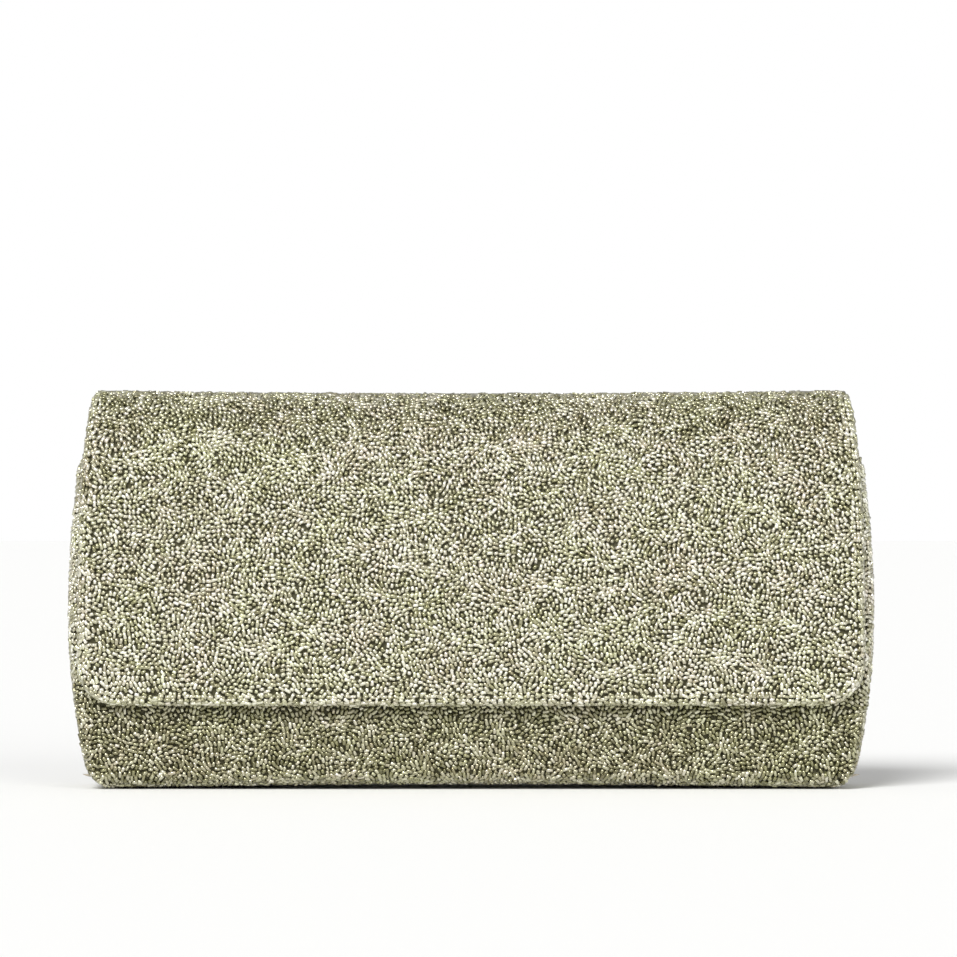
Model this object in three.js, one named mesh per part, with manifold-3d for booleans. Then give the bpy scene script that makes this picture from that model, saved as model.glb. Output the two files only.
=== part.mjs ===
// Evening bag: a barrel-shaped clutch with a deep front flap, covered in glass beads.
//
// Frame: millimetres, +Z up, the front faces -Y and X runs along the width. The origin is the
// middle of the bag's box, on the surface that the base stands on.
//
// Every panel is a sandwich of beaded cover, stiffening board and lining. Each layer is a box
// whose vertices are carried onto the panel's curved surface: "across" runs over the width,
// "along" follows the panel's profile in the YZ plane, and "depth" goes inwards from the beads.
import * as THREE from "three";
import * as BufferGeometryUtils from "three/addons/utils/BufferGeometryUtils.js";
import Module from "manifold-3d";

const wasm = await Module();
wasm.setup();

// ---- Driving dimensions, in millimetres ----
const BAG_DEPTH = 43;
const HALF_WIDTH = 120;
const WIDEST_Z = 54;
const BAG_TOP = 119;
const TAPER_UP = 0.0015;
const TAPER_DOWN = 0.0022;

const COVER = 1.5;
const BOARD = 1.4;
const LINING = 0.5;
const GAP = 0.3;
const BOARD_DEPTH = COVER + GAP;
const LINING_DEPTH = BOARD_DEPTH + BOARD + GAP;
const PANEL = LINING_DEPTH + LINING;

const BASE_RADIUS = 5;
const PANEL_FOOT = BASE_RADIUS + GAP;
const FLAP_CLEARANCE = 0.9;
const BACK_FOOT_Y = BAG_DEPTH / 2;
const FRONT_BELLY_Y = -BAG_DEPTH / 2 + PANEL + FLAP_CLEARANCE;
const BELLY_Z = 45;
const BELLY_FORWARD = 4;
const MOUTH_Z = 98;
const MOUTH_SET_BACK = 9;
const BACK_LEAN = 5;
const CROWN_EDGE = 1;
const CROWN_BELLY = 3;
const CROWN_HEIGHT = 105;
const CROWN_HALF = 118;
const BACK_CROWN = 1;

const HINGE_Y = BACK_FOOT_Y - BACK_LEAN;
const HINGE_Z = 110.5;
const FOLD_RADIUS = 1;
const COVER_FROM_HINGE = 1.8;
const BOARD_FROM_HINGE = 4.8;
const BACK_CORNER = 3.5;

const FLAP_EDGE_Z = 25;
const FLAP_HALF_WIDEST = 116.8;
const FLAP_NARROWING = 5.6;
const FLAP_WIDE_AT = 80;
const FLAP_CORNER = 12;
// The flap is straight along X at the hinge and takes its full crown after this length.
const FLAP_ROLL = 35;
const TRIM_WIDTH = 2.2;
const FLAP_ROWS = 22;
const FLAP_STRAIGHT_ROWS = 18;
// Rows of vertices crowd towards the flap's roll by this power.
const ROWS_TO_ROLL = 1.3;

const BINDING_HEIGHT = 2.2;
const GUSSET_TOP_FRONT = 97;
const GUSSET_TOP_BACK = 104;
const GUSSET_CORNER = 6;
const GUSSET_LINING_DEPTH = COVER + 2 * GAP;
// The leaning front and back panels are this much thicker when measured straight along Y.
const FRONT_LEAN = 1.06;
const BACK_LEAN_SHARE = 1.02;
// Rows of vertices crowd towards a gusset's rounded foot by this power.
const ROWS_TO_FOOT = 1.6;

const SNAP_RADIUS = 8;
const SNAP_HOLE = 8.4;
const MAGNET_RADIUS = 6;
const MAGNET_HOLE = 6.5;
const STUD_RADIUS = 2.3;
const STUD_HOLE = 3.5;
const SNAP_SIDES = 24;
const SOCKET_PROUD = 0.2;
const SOCKET_THICKNESS = 1.6;
const MAGNET_THICKNESS = 1.1;
const WASHER_THICKNESS = 0.4;
const PLATE_THICKNESS = 0.9;
const PLATE_SUNK = 0.5;
const STUD_LENGTH = 2.2;
const STUD_WASHER_THICKNESS = 0.9;

const RING_RADIUS = 4.8;
const RING_WIRE = 0.8;
const RING_FLAT = 0.45;
const RING_Z = 86;
const RING_Y = 4.7;
const TAB_LOOP = 2.4;
const TAB_BORE = 1.6;
const TAB_THICKNESS = 1.2;
const TAB_HEIGHT = 9;
const TAB_WIDTH = 4;
// The gusset leans inwards going up, so the tab's foot stands off it to clear it at the top.
const TAB_STAND_OFF = 1;

const POCKET_HALF = 55;
const POCKET_FOOT = 30;
const POCKET_TOP = 82;
const POCKET_THICKNESS = 0.6;

// ---- Colours and finishes ----
const BEADS = { color: 0xa4a38c, roughness: 0.3, metalness: 0.6 };
const BEAD_RIM = { color: 0xb4b29c, roughness: 0.3, metalness: 0.6 };
const CARDBOARD = { color: 0x8f8a80, roughness: 0.9, metalness: 0 };
const SATIN = { color: 0xb7ad9c, roughness: 0.45, metalness: 0 };
const NICKEL = { color: 0xc9c7c0, roughness: 0.2, metalness: 1 };
const FERRITE = { color: 0x3a3836, roughness: 0.6, metalness: 0.3 };

const bag = new THREE.Group();

// ---- Small helpers ----
function addPiece(name, geometry, finish, parent = bag) {
  const mesh = new THREE.Mesh(geometry, new THREE.MeshStandardMaterial(finish));
  mesh.name = name;
  parent.add(mesh);
  return mesh;
}

function clamp01(value) {
  return Math.min(1, Math.max(0, value));
}

// A box of unit size whose vertices are moved by place(across -1..1, along 0..1, depth 0..1).
function curvedPanel(acrossSteps, alongSteps, place) {
  const geometry = new THREE.BoxGeometry(1, 1, 1, acrossSteps, alongSteps, 1);
  const position = geometry.getAttribute("position");
  for (let i = 0; i < position.count; i += 1) {
    const across = position.getX(i) * 2;
    const along = position.getY(i) + 0.5;
    const depth = 0.5 - position.getZ(i);
    const point = place(across, along, depth);
    position.setXYZ(i, point[0], point[1], point[2]);
  }
  return closed(geometry);
}

// The same mesh with shared vertices and no attribute but position.
function closed(geometry) {
  geometry.deleteAttribute("normal");
  geometry.deleteAttribute("uv");
  return BufferGeometryUtils.mergeVertices(geometry, 1e-4);
}

// The same mesh with every triangle turned over, for a surface that a mapping mirrored.
function turnedOver(geometry) {
  const index = geometry.getIndex();
  for (let i = 0; i < index.count; i += 3) {
    const first = index.getX(i);
    index.setX(i, index.getX(i + 1));
    index.setX(i + 1, first);
  }
  return geometry;
}

function toManifold(geometry) {
  const mesh = new wasm.Mesh({
    numProp: 3,
    vertProperties: new Float32Array(geometry.getAttribute("position").array),
    triVerts: new Uint32Array(geometry.getIndex().array),
  });
  return new wasm.Manifold(mesh);
}

function fromManifold(solid) {
  const mesh = solid.getMesh();
  const geometry = new THREE.BufferGeometry();
  geometry.setAttribute("position", new THREE.BufferAttribute(mesh.vertProperties, 3));
  geometry.setIndex(new THREE.BufferAttribute(mesh.triVerts, 1));
  return geometry;
}

// A round bar along Y, from one y to another, at the height of the snap.
function barAlongY(radius, fromY, toY) {
  const geometry = new THREE.CylinderGeometry(radius, radius, toY - fromY, SNAP_SIDES, 1);
  geometry.translate(0, (fromY + toY) / 2, BELLY_Z);
  return closed(geometry);
}

// A panel with a round hole for the snap cut through it.
function withSnapHole(geometry, radius) {
  const cutter = barAlongY(radius, -BAG_DEPTH, 0);
  return fromManifold(toManifold(geometry).subtract(toManifold(cutter)));
}

// ---- The body's outer surface ----
// Half of the body's width at a height: a barrel, widest at WIDEST_Z.
function bodyHalf(z) {
  const taper = z > WIDEST_Z ? TAPER_UP : TAPER_DOWN;
  return HALF_WIDTH - taper * (z - WIDEST_Z) ** 2;
}

// How far a rounded end of radius r has come in at a distance below r from the edge.
function cornerInset(radius, fromEdge) {
  const d = Math.min(radius, Math.max(0, fromEdge));
  return radius - Math.sqrt(radius ** 2 - (radius - d) ** 2);
}

function frontY(z) {
  if (z > BELLY_Z) {
    return FRONT_BELLY_Y + MOUTH_SET_BACK * ((z - BELLY_Z) / (MOUTH_Z - BELLY_Z)) ** 2;
  }
  return FRONT_BELLY_Y + BELLY_FORWARD * ((BELLY_Z - z) / (BELLY_Z - BASE_RADIUS)) ** 2;
}

function backY(z) {
  return BACK_FOOT_Y - BACK_LEAN * ((z - BASE_RADIUS) / (HINGE_Z - BASE_RADIUS)) ** 2;
}

// The front panels curve back towards the bag's ends by this much at CROWN_HALF.
function frontCrown(z) {
  return CROWN_EDGE + CROWN_BELLY * Math.sin(Math.PI * clamp01(z / CROWN_HEIGHT));
}

function backCrown(z) {
  return BACK_CROWN * (1 - clamp01(z / HINGE_Z) ** 3);
}

// The inward normal of a profile y(z), by its slope.
function inward(profile, z, side) {
  const slope = (profile(z + 0.1) - profile(z - 0.1)) / 0.2;
  const length = Math.hypot(1, slope);
  return [side / length, (-side * slope) / length];
}

// ---- Front panel ----
function frontLayer(from, thickness, foot, top, inset) {
  const place = (across, along, depth) => {
    const z = foot + along * (top - foot);
    const x = across * (bodyHalf(z) - inset);
    const [ny, nz] = inward(frontY, z, 1);
    const t = from + depth * thickness;
    const y = frontY(z) + frontCrown(z) * (x / CROWN_HALF) ** 2;
    return [x, y + ny * t, z + nz * t * along];
  };
  return curvedPanel(10, 8, place);
}

function addFrontPanel() {
  const coverTop = MOUTH_Z - BINDING_HEIGHT - GAP;
  const cover = frontLayer(0, COVER, PANEL_FOOT, coverTop, 0);
  const board = frontLayer(BOARD_DEPTH, BOARD, PANEL_FOOT, coverTop, 1.5);
  addPiece("front_cover", withSnapHole(cover, SNAP_HOLE), BEADS);
  addPiece("front_board", withSnapHole(board, MAGNET_HOLE), CARDBOARD);
  addPiece("front_lining", frontLayer(LINING_DEPTH, LINING, PANEL_FOOT, coverTop, 1.5), SATIN);
  addPiece("mouth_binding", mouthBinding(MOUTH_Z - BINDING_HEIGHT, MOUTH_Z), BEAD_RIM);
}

// The beaded binding that closes the front panel's top edge, as thick as the panel.
function mouthBinding(foot, top) {
  const [ny, nz] = inward(frontY, MOUTH_Z, 1);
  const place = (across, along, depth) => {
    const z = foot + along * (top - foot);
    const x = across * bodyHalf(z);
    const y = frontY(z) + frontCrown(z) * (x / CROWN_HALF) ** 2;
    return [x, y + ny * PANEL * depth, z + nz * PANEL * depth];
  };
  return curvedPanel(10, 1, place);
}

// ---- Back panel ----
function backLayer(from, thickness, foot, top, inset) {
  const place = (across, along, depth) => {
    const z = foot + along * (top - foot);
    const half = bodyHalf(z) - inset - cornerInset(BACK_CORNER, HINGE_Z - z);
    const x = across * half;
    const [ny, nz] = inward(backY, z, -1);
    const t = from + depth * thickness;
    const y = backY(z) - backCrown(z) * (x / CROWN_HALF) ** 2;
    return [x, y + ny * t, z + nz * t * along];
  };
  return turnedOver(curvedPanel(10, 8, place));
}

function addBackPanel() {
  const boardTop = HINGE_Z - BOARD_FROM_HINGE;
  addPiece("back_cover", backLayer(0, COVER, PANEL_FOOT, HINGE_Z - COVER_FROM_HINGE, 0), BEADS);
  addPiece("back_board", backLayer(BOARD_DEPTH, BOARD, PANEL_FOOT, boardTop, 1.5), CARDBOARD);
  addPiece("back_lining", backLayer(LINING_DEPTH, LINING, PANEL_FOOT, boardTop, 1.5), SATIN);
  addPiece("slip_pocket", slipPocket(), SATIN);
}

function slipPocket() {
  const place = (across, along, depth) => {
    const z = POCKET_FOOT + along * (POCKET_TOP - POCKET_FOOT);
    const x = across * POCKET_HALF;
    const [ny, nz] = inward(backY, z, -1);
    const t = PANEL + GAP + depth * POCKET_THICKNESS;
    const y = backY(z) - backCrown(z) * (x / CROWN_HALF) ** 2;
    return [x, y + ny * t, z + nz * t];
  };
  return turnedOver(curvedPanel(6, 4, place));
}

// ---- Base ----
// The beaded cover turns up at the front and back: a quarter round, the flat, a quarter round.
function baseCover() {
  const frontFoot = frontY(BASE_RADIUS) + BASE_RADIUS;
  const backFoot = BACK_FOOT_Y - BASE_RADIUS;
  const arcShare = 0.3;
  const place = (across, along, depth) => {
    const radius = BASE_RADIUS - depth * COVER;
    let y = 0;
    let z = BASE_RADIUS - radius;
    if (along < arcShare) {
      const angle = (Math.PI / 2) * (1 - along / arcShare);
      y = frontFoot - radius * Math.sin(angle);
      z = BASE_RADIUS - radius * Math.cos(angle);
    } else if (along > 1 - arcShare) {
      const angle = (Math.PI / 2) * (1 - (1 - along) / arcShare);
      y = backFoot + radius * Math.sin(angle);
      z = BASE_RADIUS - radius * Math.cos(angle);
    } else {
      y = frontFoot + ((along - arcShare) / (1 - 2 * arcShare)) * (backFoot - frontFoot);
    }
    const half = bodyHalf(z) - cornerInset(GUSSET_CORNER, z);
    const x = across * half;
    const middle = (frontFoot + backFoot) / 2;
    const pull = clamp01((middle - y) / (middle - frontFoot)) * CROWN_EDGE;
    const pullBack = clamp01((y - middle) / (backFoot - middle)) * BACK_CROWN;
    return [x, y + (pull - pullBack) * (x / CROWN_HALF) ** 2, z];
  };
  return turnedOver(curvedPanel(10, 10, place));
}

function flatPlate(halfLength, fromY, toY, fromZ, thickness) {
  const geometry = new THREE.BoxGeometry(2 * halfLength, toY - fromY, thickness);
  geometry.translate(0, (fromY + toY) / 2, fromZ + thickness / 2);
  return closed(geometry);
}

function addBase() {
  const fromY = frontY(BASE_RADIUS) + BASE_RADIUS + CROWN_EDGE;
  const toY = BACK_FOOT_Y - BASE_RADIUS - BACK_CROWN;
  const boardHalf = bodyHalf(0) - GUSSET_CORNER - COVER;
  addPiece("base_cover", baseCover(), BEADS);
  addPiece("base_board", flatPlate(boardHalf, fromY, toY, BOARD_DEPTH, BOARD), CARDBOARD);
  addPiece("base_lining", flatPlate(boardHalf, fromY, toY, LINING_DEPTH, LINING), SATIN);
}

// ---- Gussets: the end panels between front and back ----
function gussetLayer(from, thickness, foot, side) {
  const place = (across, along, depth) => {
    const share = (across + 1) / 2;
    const top = GUSSET_TOP_FRONT + share * (GUSSET_TOP_BACK - GUSSET_TOP_FRONT);
    const z = foot + along ** ROWS_TO_FOOT * (top - foot);
    const outer = bodyHalf(z) - cornerInset(GUSSET_CORNER, z) - GAP;
    const x = outer - from - depth * thickness;
    const fromY = frontY(Math.max(z, BASE_RADIUS)) + frontCrown(z) * (x / CROWN_HALF) ** 2;
    const toY = backY(z) - backCrown(z) * (x / CROWN_HALF) ** 2;
    const frontEdge = fromY + PANEL * FRONT_LEAN + GAP;
    const backEdge = toY - PANEL * BACK_LEAN_SHARE - GAP;
    return [side * x, frontEdge + share * (backEdge - frontEdge), z];
  };
  const geometry = curvedPanel(3, 12, place);
  return side > 0 ? geometry : turnedOver(geometry);
}

function addGussets() {
  for (const [side, name] of [[-1, "left"], [1, "right"]]) {
    addPiece(`${name}_gusset_cover`, gussetLayer(0, COVER, BOARD_DEPTH, side), BEADS);
    const liningFoot = PANEL + GAP;
    addPiece(`${name}_gusset_lining`, gussetLayer(GUSSET_LINING_DEPTH, LINING, liningFoot, side), SATIN);
  }
}

// ---- Flap ----
// The flap's outer profile in the YZ plane, from the hinge over the rounded top and down the front.
function flapProfile() {
  const roll = [[HINGE_Y, HINGE_Z], [12.5, 116.6], [6.5, BAG_TOP], [0, 117.2], [-6, 111.8], [-9.9, 105.2]];
  const points = roll.map(([y, z]) => new THREE.Vector3(0, y, z));
  const frontRows = 7;
  for (let i = 0; i < frontRows; i += 1) {
    const z = MOUTH_Z + (i / (frontRows - 1)) * (FLAP_EDGE_Z - MOUTH_Z);
    points.push(new THREE.Vector3(0, frontY(z) - PANEL - FLAP_CLEARANCE, z));
  }
  return new THREE.CatmullRomCurve3(points, false, "centripetal");
}

const FLAP_CURVE = flapProfile();
const FLAP_LENGTH = FLAP_CURVE.getLength();

function flapHalf(length) {
  const rest = clamp01(1 - length / FLAP_WIDE_AT);
  return FLAP_HALF_WIDEST - FLAP_NARROWING * rest ** 2;
}

// A point on the flap: x across, a length along the profile, and a depth below the beads.
function flapPoint(x, length, depth) {
  const share = clamp01(length / FLAP_LENGTH);
  const point = FLAP_CURVE.getPointAt(share);
  const tangent = FLAP_CURVE.getTangentAt(share);
  const fullCrown = frontCrown(Math.min(point.z, MOUTH_Z)) * clamp01(length / FLAP_ROLL);
  const crown = fullCrown * (x / CROWN_HALF) ** 2;
  return [x, point.y + crown - tangent.z * depth, point.z + tangent.y * depth];
}

// One layer of the flap, from a row of vertices near the hinge to the lower edge. All layers
// share the same rows, which crowd towards the tight roll. The outline is inset from the flap's
// own, and its two lower corners are quarter rounds.
function flapLayer(from, thickness, firstRow) {
  const inset = TRIM_WIDTH + GAP;
  const radius = FLAP_CORNER - inset;
  const straightEnd = FLAP_LENGTH - inset - radius;
  const place = (across, along, depth) => {
    const row = firstRow + along * (FLAP_ROWS - firstRow);
    const straight = Math.min(1, row / FLAP_STRAIGHT_ROWS) ** ROWS_TO_ROLL;
    const turnShare = clamp01((row - FLAP_STRAIGHT_ROWS) / (FLAP_ROWS - FLAP_STRAIGHT_ROWS));
    const turn = turnShare * (Math.PI / 2);
    const down = COVER_FROM_HINGE + straight * (straightEnd - COVER_FROM_HINGE);
    const length = down + radius * Math.sin(turn);
    const half = flapHalf(length) - inset - radius * (1 - Math.cos(turn));
    return flapPoint(across * half, length, from + depth * thickness);
  };
  return turnedOver(curvedPanel(8, FLAP_ROWS - firstRow, place));
}

// The beaded rim round the flap's free edge, as a bar carried along the outline: up one side,
// round the lower corners and along the lower edge.
function flapTrim() {
  const radius = FLAP_CORNER;
  const sideShare = 0.36;
  const cornerShare = 0.06;
  const place = (across, along, depth) => {
    const inset = TRIM_WIDTH * (0.5 - across / 2);
    const half = Math.min(along, 1 - along);
    const side = along < 0.5 ? -1 : 1;
    let x = 0;
    let length = 0;
    if (half < sideShare) {
      length = COVER_FROM_HINGE + (half / sideShare) * (FLAP_LENGTH - radius - COVER_FROM_HINGE);
      x = flapHalf(length) - inset;
    } else if (half < sideShare + cornerShare) {
      const turn = ((half - sideShare) / cornerShare) * (Math.PI / 2);
      const reach = radius - inset;
      length = FLAP_LENGTH - radius + reach * Math.sin(turn);
      x = flapHalf(length) - radius + reach * Math.cos(turn);
    } else {
      const rest = (half - sideShare - cornerShare) / (0.5 - sideShare - cornerShare);
      length = FLAP_LENGTH - inset;
      x = (flapHalf(length) - radius) * (1 - rest);
    }
    return flapPoint(side * x, length, depth * PANEL);
  };
  return curvedPanel(1, 100, place);
}

function addFlap() {
  const board = flapLayer(BOARD_DEPTH, BOARD, 1);
  const lining = flapLayer(LINING_DEPTH, LINING, 1);
  addPiece("flap_cover", flapLayer(0, COVER, 0), BEADS);
  addPiece("flap_board", withSnapHole(board, MAGNET_HOLE), CARDBOARD);
  addPiece("flap_lining", withSnapHole(lining, SNAP_HOLE), SATIN);
  addPiece("flap_edge_trim", flapTrim(), BEAD_RIM);
}

// The fold of beaded cloth that joins back and flap: a thin round strip on the hinge line.
function addFold() {
  const half = flapHalf(0) - TRIM_WIDTH;
  const geometry = new THREE.CylinderGeometry(FOLD_RADIUS, FOLD_RADIUS, 2 * half, 8, 1);
  geometry.rotateZ(Math.PI / 2);
  geometry.translate(0, HINGE_Y, HINGE_Z);
  addPiece("flap_fold", closed(geometry), BEADS);
}

// ---- Magnetic snap ----
// Each disc is given by its radius, the y it starts at and its thickness. The socket is sunk in
// the front panel and the stud plate in the flap's lining, both at the belly's height.
function disc(radius, fromY, thickness) {
  return barAlongY(radius, fromY, fromY + thickness);
}

function ringDisc(radius, hole, fromY, thickness) {
  const cutter = disc(hole, fromY - 1, thickness + 2);
  return fromManifold(toManifold(disc(radius, fromY, thickness)).subtract(toManifold(cutter)));
}

function addSnap() {
  const socketY = FRONT_BELLY_Y - SOCKET_PROUD;
  const magnetY = FRONT_BELLY_Y + BOARD_DEPTH;
  const washerY = magnetY + MAGNET_THICKNESS + GAP / 4;
  addPiece("snap_socket", ringDisc(SNAP_RADIUS, STUD_HOLE, socketY, SOCKET_THICKNESS), NICKEL);
  addPiece("snap_magnet", ringDisc(MAGNET_RADIUS, STUD_HOLE, magnetY, MAGNET_THICKNESS), FERRITE);
  addPiece("snap_socket_washer", disc(MAGNET_RADIUS, washerY, WASHER_THICKNESS), NICKEL);
  const plateY = FRONT_BELLY_Y - FLAP_CLEARANCE - PLATE_SUNK;
  const studWasherY = plateY - STUD_WASHER_THICKNESS - 2 * GAP;
  const plate = disc(SNAP_RADIUS, plateY, PLATE_THICKNESS);
  const stud = disc(STUD_RADIUS, plateY + GAP, STUD_LENGTH);
  addPiece("snap_stud", fromManifold(toManifold(plate).add(toManifold(stud))), NICKEL);
  addPiece("snap_stud_washer", disc(MAGNET_RADIUS, studWasherY, STUD_WASHER_THICKNESS), NICKEL);
}

// ---- Strap rings, inside at the top of each gusset ----
// A D-shaped ring in the YZ plane, its straight bar on the local origin and its bow below.
function dRing() {
  const geometry = new THREE.TorusGeometry(RING_RADIUS, RING_WIRE, 8, 24);
  const position = geometry.getAttribute("position");
  const uv = geometry.getAttribute("uv");
  const flat = RING_RADIUS * RING_FLAT;
  for (let i = 0; i < position.count; i += 1) {
    const around = uv.getX(i) * Math.PI * 2;
    const section = uv.getY(i) * Math.PI * 2;
    const onBar = RING_RADIUS * Math.sin(around) > flat;
    const centreY = RING_RADIUS * Math.cos(around);
    const centreZ = Math.min(RING_RADIUS * Math.sin(around), flat) - flat;
    const outY = onBar ? 0 : Math.cos(around);
    const outZ = onBar ? 1 : Math.sin(around);
    const reach = RING_WIRE * Math.cos(section);
    const sideways = RING_WIRE * Math.sin(section);
    position.setXYZ(i, sideways, centreY + outY * reach, centreZ + outZ * reach);
  }
  return closed(geometry);
}

// The ribbon tab: a strip against the gusset's lining that loops round the ring's bar.
function ringTab() {
  const shape = new THREE.Shape();
  shape.absarc(0, 0, TAB_LOOP, Math.PI / 2, Math.PI * 2, false);
  shape.lineTo(TAB_LOOP, TAB_HEIGHT);
  shape.lineTo(TAB_LOOP - TAB_THICKNESS, TAB_HEIGHT);
  shape.lineTo(TAB_LOOP - TAB_THICKNESS, TAB_LOOP);
  shape.closePath();
  const bore = new THREE.Path();
  bore.absarc(0, 0, TAB_BORE, 0, Math.PI * 2, true);
  shape.holes.push(bore);
  const settings = { depth: TAB_WIDTH, bevelEnabled: false, curveSegments: 12 };
  const geometry = new THREE.ExtrudeGeometry(shape, settings);
  geometry.translate(0, 0, -TAB_WIDTH / 2);
  geometry.rotateX(Math.PI / 2);
  return closed(geometry);
}

function addRings() {
  const liningFace = bodyHalf(RING_Z) - GUSSET_LINING_DEPTH - LINING - 2 * GAP;
  const barX = liningFace - TAB_LOOP - TAB_STAND_OFF;
  for (const [side, name] of [[-1, "left"], [1, "right"]]) {
    const tab = addPiece(`${name}_ring_tab`, ringTab(), SATIN);
    tab.position.set(side * barX, RING_Y, RING_Z);
    tab.rotation.z = side > 0 ? 0 : Math.PI;
    const ring = addPiece(`${name}_d_ring`, dRing(), NICKEL);
    ring.position.set(side * barX, RING_Y, RING_Z);
  }
}

addFrontPanel();
addBackPanel();
addBase();
addGussets();
addFlap();
addFold();
addSnap();
addRings();

export default bag;
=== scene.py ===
# %% [markdown]
# # A beaded evening bag
#
# A stiff little clutch, covered all over with short glass beads. Its deep flap comes out of the
# back panel, rolls over the top and closes on the front with a magnetic snap. Two small rings
# inside the mouth take a shoulder chain.
#
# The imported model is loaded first. It fixes every size, body and joint, and the rest of this
# file only builds the looks around it.

# %% Load the frame
import math

import bpy
import numpy as np
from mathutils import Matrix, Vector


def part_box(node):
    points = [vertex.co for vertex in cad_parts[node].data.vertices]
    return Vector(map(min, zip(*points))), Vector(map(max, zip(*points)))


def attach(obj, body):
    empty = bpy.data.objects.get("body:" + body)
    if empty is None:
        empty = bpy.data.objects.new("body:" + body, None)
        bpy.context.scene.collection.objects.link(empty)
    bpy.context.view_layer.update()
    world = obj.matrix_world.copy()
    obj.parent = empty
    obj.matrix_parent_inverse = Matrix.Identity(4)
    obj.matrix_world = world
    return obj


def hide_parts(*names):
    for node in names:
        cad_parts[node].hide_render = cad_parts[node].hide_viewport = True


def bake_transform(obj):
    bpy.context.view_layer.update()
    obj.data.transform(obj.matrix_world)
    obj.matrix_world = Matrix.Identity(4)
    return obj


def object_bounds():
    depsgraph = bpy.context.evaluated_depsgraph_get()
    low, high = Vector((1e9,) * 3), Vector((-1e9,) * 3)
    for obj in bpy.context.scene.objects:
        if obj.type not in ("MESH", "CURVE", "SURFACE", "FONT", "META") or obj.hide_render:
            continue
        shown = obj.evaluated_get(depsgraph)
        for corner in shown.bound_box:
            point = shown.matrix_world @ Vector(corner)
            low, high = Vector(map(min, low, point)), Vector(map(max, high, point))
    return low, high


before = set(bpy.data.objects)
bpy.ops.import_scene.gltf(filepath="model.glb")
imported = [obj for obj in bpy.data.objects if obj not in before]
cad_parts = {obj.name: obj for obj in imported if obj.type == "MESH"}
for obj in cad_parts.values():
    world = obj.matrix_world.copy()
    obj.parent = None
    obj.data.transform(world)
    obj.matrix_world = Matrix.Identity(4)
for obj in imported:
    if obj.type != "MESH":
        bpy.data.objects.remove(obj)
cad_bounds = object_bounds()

print("CAD box", cad_bounds)

# %% [markdown]
# ## The bag as one long strip
#
# On the real bag a single beaded cloth runs from the flap's lower edge up the front, over the
# top, down the back, under the base and up the front panel to the mouth. So the looks are
# worked out the same way: one path in the YZ plane, and a width at each place on it. A point
# is found by how far across (u) and how far along (t) it lies, both in millimetres, with t = 0
# at the hinge, below zero on the flap and above zero on the body. That keeps the rows of beads
# unbroken over every bend, which a separate cover for each panel would not do.

# %% Sizes of the bag, in millimetres
MM = 0.001
HINGE_Y, HINGE_Z = (1 / MM) * np.array(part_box("flap_fold")).mean(axis=0)[1:]
BACK_FOOT_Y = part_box("back_cover")[1][1] / MM
BASE_RADIUS = 5.0
BELLY_Z = 45.0
FRONT_BELLY_Y = -16.6
MOUTH_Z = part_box("mouth_binding")[1][2] / MM
WIDEST_Z = 54.0
HALF_WIDTH = 120.0
PANEL = 4.0
FLAP_GAP = 0.9
FLAP_EDGE_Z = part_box("flap_edge_trim")[0][2] / MM
FLAP_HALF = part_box("flap_edge_trim")[1][0] / MM
FLAP_CORNER = 12.0
FOOT_CORNER = 7.5
CROWN_HALF = 118.0
EDGE_ROLL = 2.0
SIDE_ROLL = 3.0
LIP_ROLL = 1.85
print(f"hinge y {HINGE_Y:.2f} z {HINGE_Z:.2f}, mouth z {MOUTH_Z:.1f}, flap edge z {FLAP_EDGE_Z:.1f}")


# %% Profiles of the panels
BARREL_ABOVE = 0.0015
BARREL_BELOW = 0.0022
ABOVE_BELLY = 53.0
BELOW_BELLY = 40.0
MOUTH_LEAN = 9.0
FOOT_LEAN = 4.0
CROWN_LEAST = 1.0
CROWN_MORE = 3.0
CROWN_HEIGHT = 105.0


def smooth(x):
    """A smooth step: 3x^2 - 2x^3, with x held between 0 and 1."""
    x = np.clip(x, 0.0, 1.0)
    return x * x * (3.0 - 2.0 * x)


def body_half(z):
    """Half the body's width at a height: a barrel, 120 less a share of (z - 54) squared."""
    return HALF_WIDTH - np.where(z > WIDEST_Z, BARREL_ABOVE, BARREL_BELOW) * (z - WIDEST_Z) ** 2


def corner_inset(radius, from_edge):
    """How far a round corner has come in: r - sqrt(r^2 - (r - d)^2) at d from the edge."""
    d = np.clip(from_edge, 0.0, radius)
    return radius - np.sqrt(radius**2 - (radius - d) ** 2)


def front_y(z):
    """The front's profile: two parabolas that meet at the belly, 9 back at the mouth and 4 at the foot."""
    above = FRONT_BELLY_Y + MOUTH_LEAN * ((z - BELLY_Z) / ABOVE_BELLY) ** 2
    below = FRONT_BELLY_Y + FOOT_LEAN * ((BELLY_Z - z) / BELOW_BELLY) ** 2
    return np.where(z > BELLY_Z, above, below)


def back_y(z):
    """The back's profile: a parabola that leans forward from its foot to the hinge."""
    return BACK_FOOT_Y - (BACK_FOOT_Y - HINGE_Y) * ((z - BASE_RADIUS) / (HINGE_Z - BASE_RADIUS)) ** 2


def front_crown(z):
    """How far the front curves back at its ends: 1, and 3 more at half height, as a sine."""
    return CROWN_LEAST + CROWN_MORE * np.sin(math.pi * np.clip(z / CROWN_HEIGHT, 0.0, 1.0))


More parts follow.
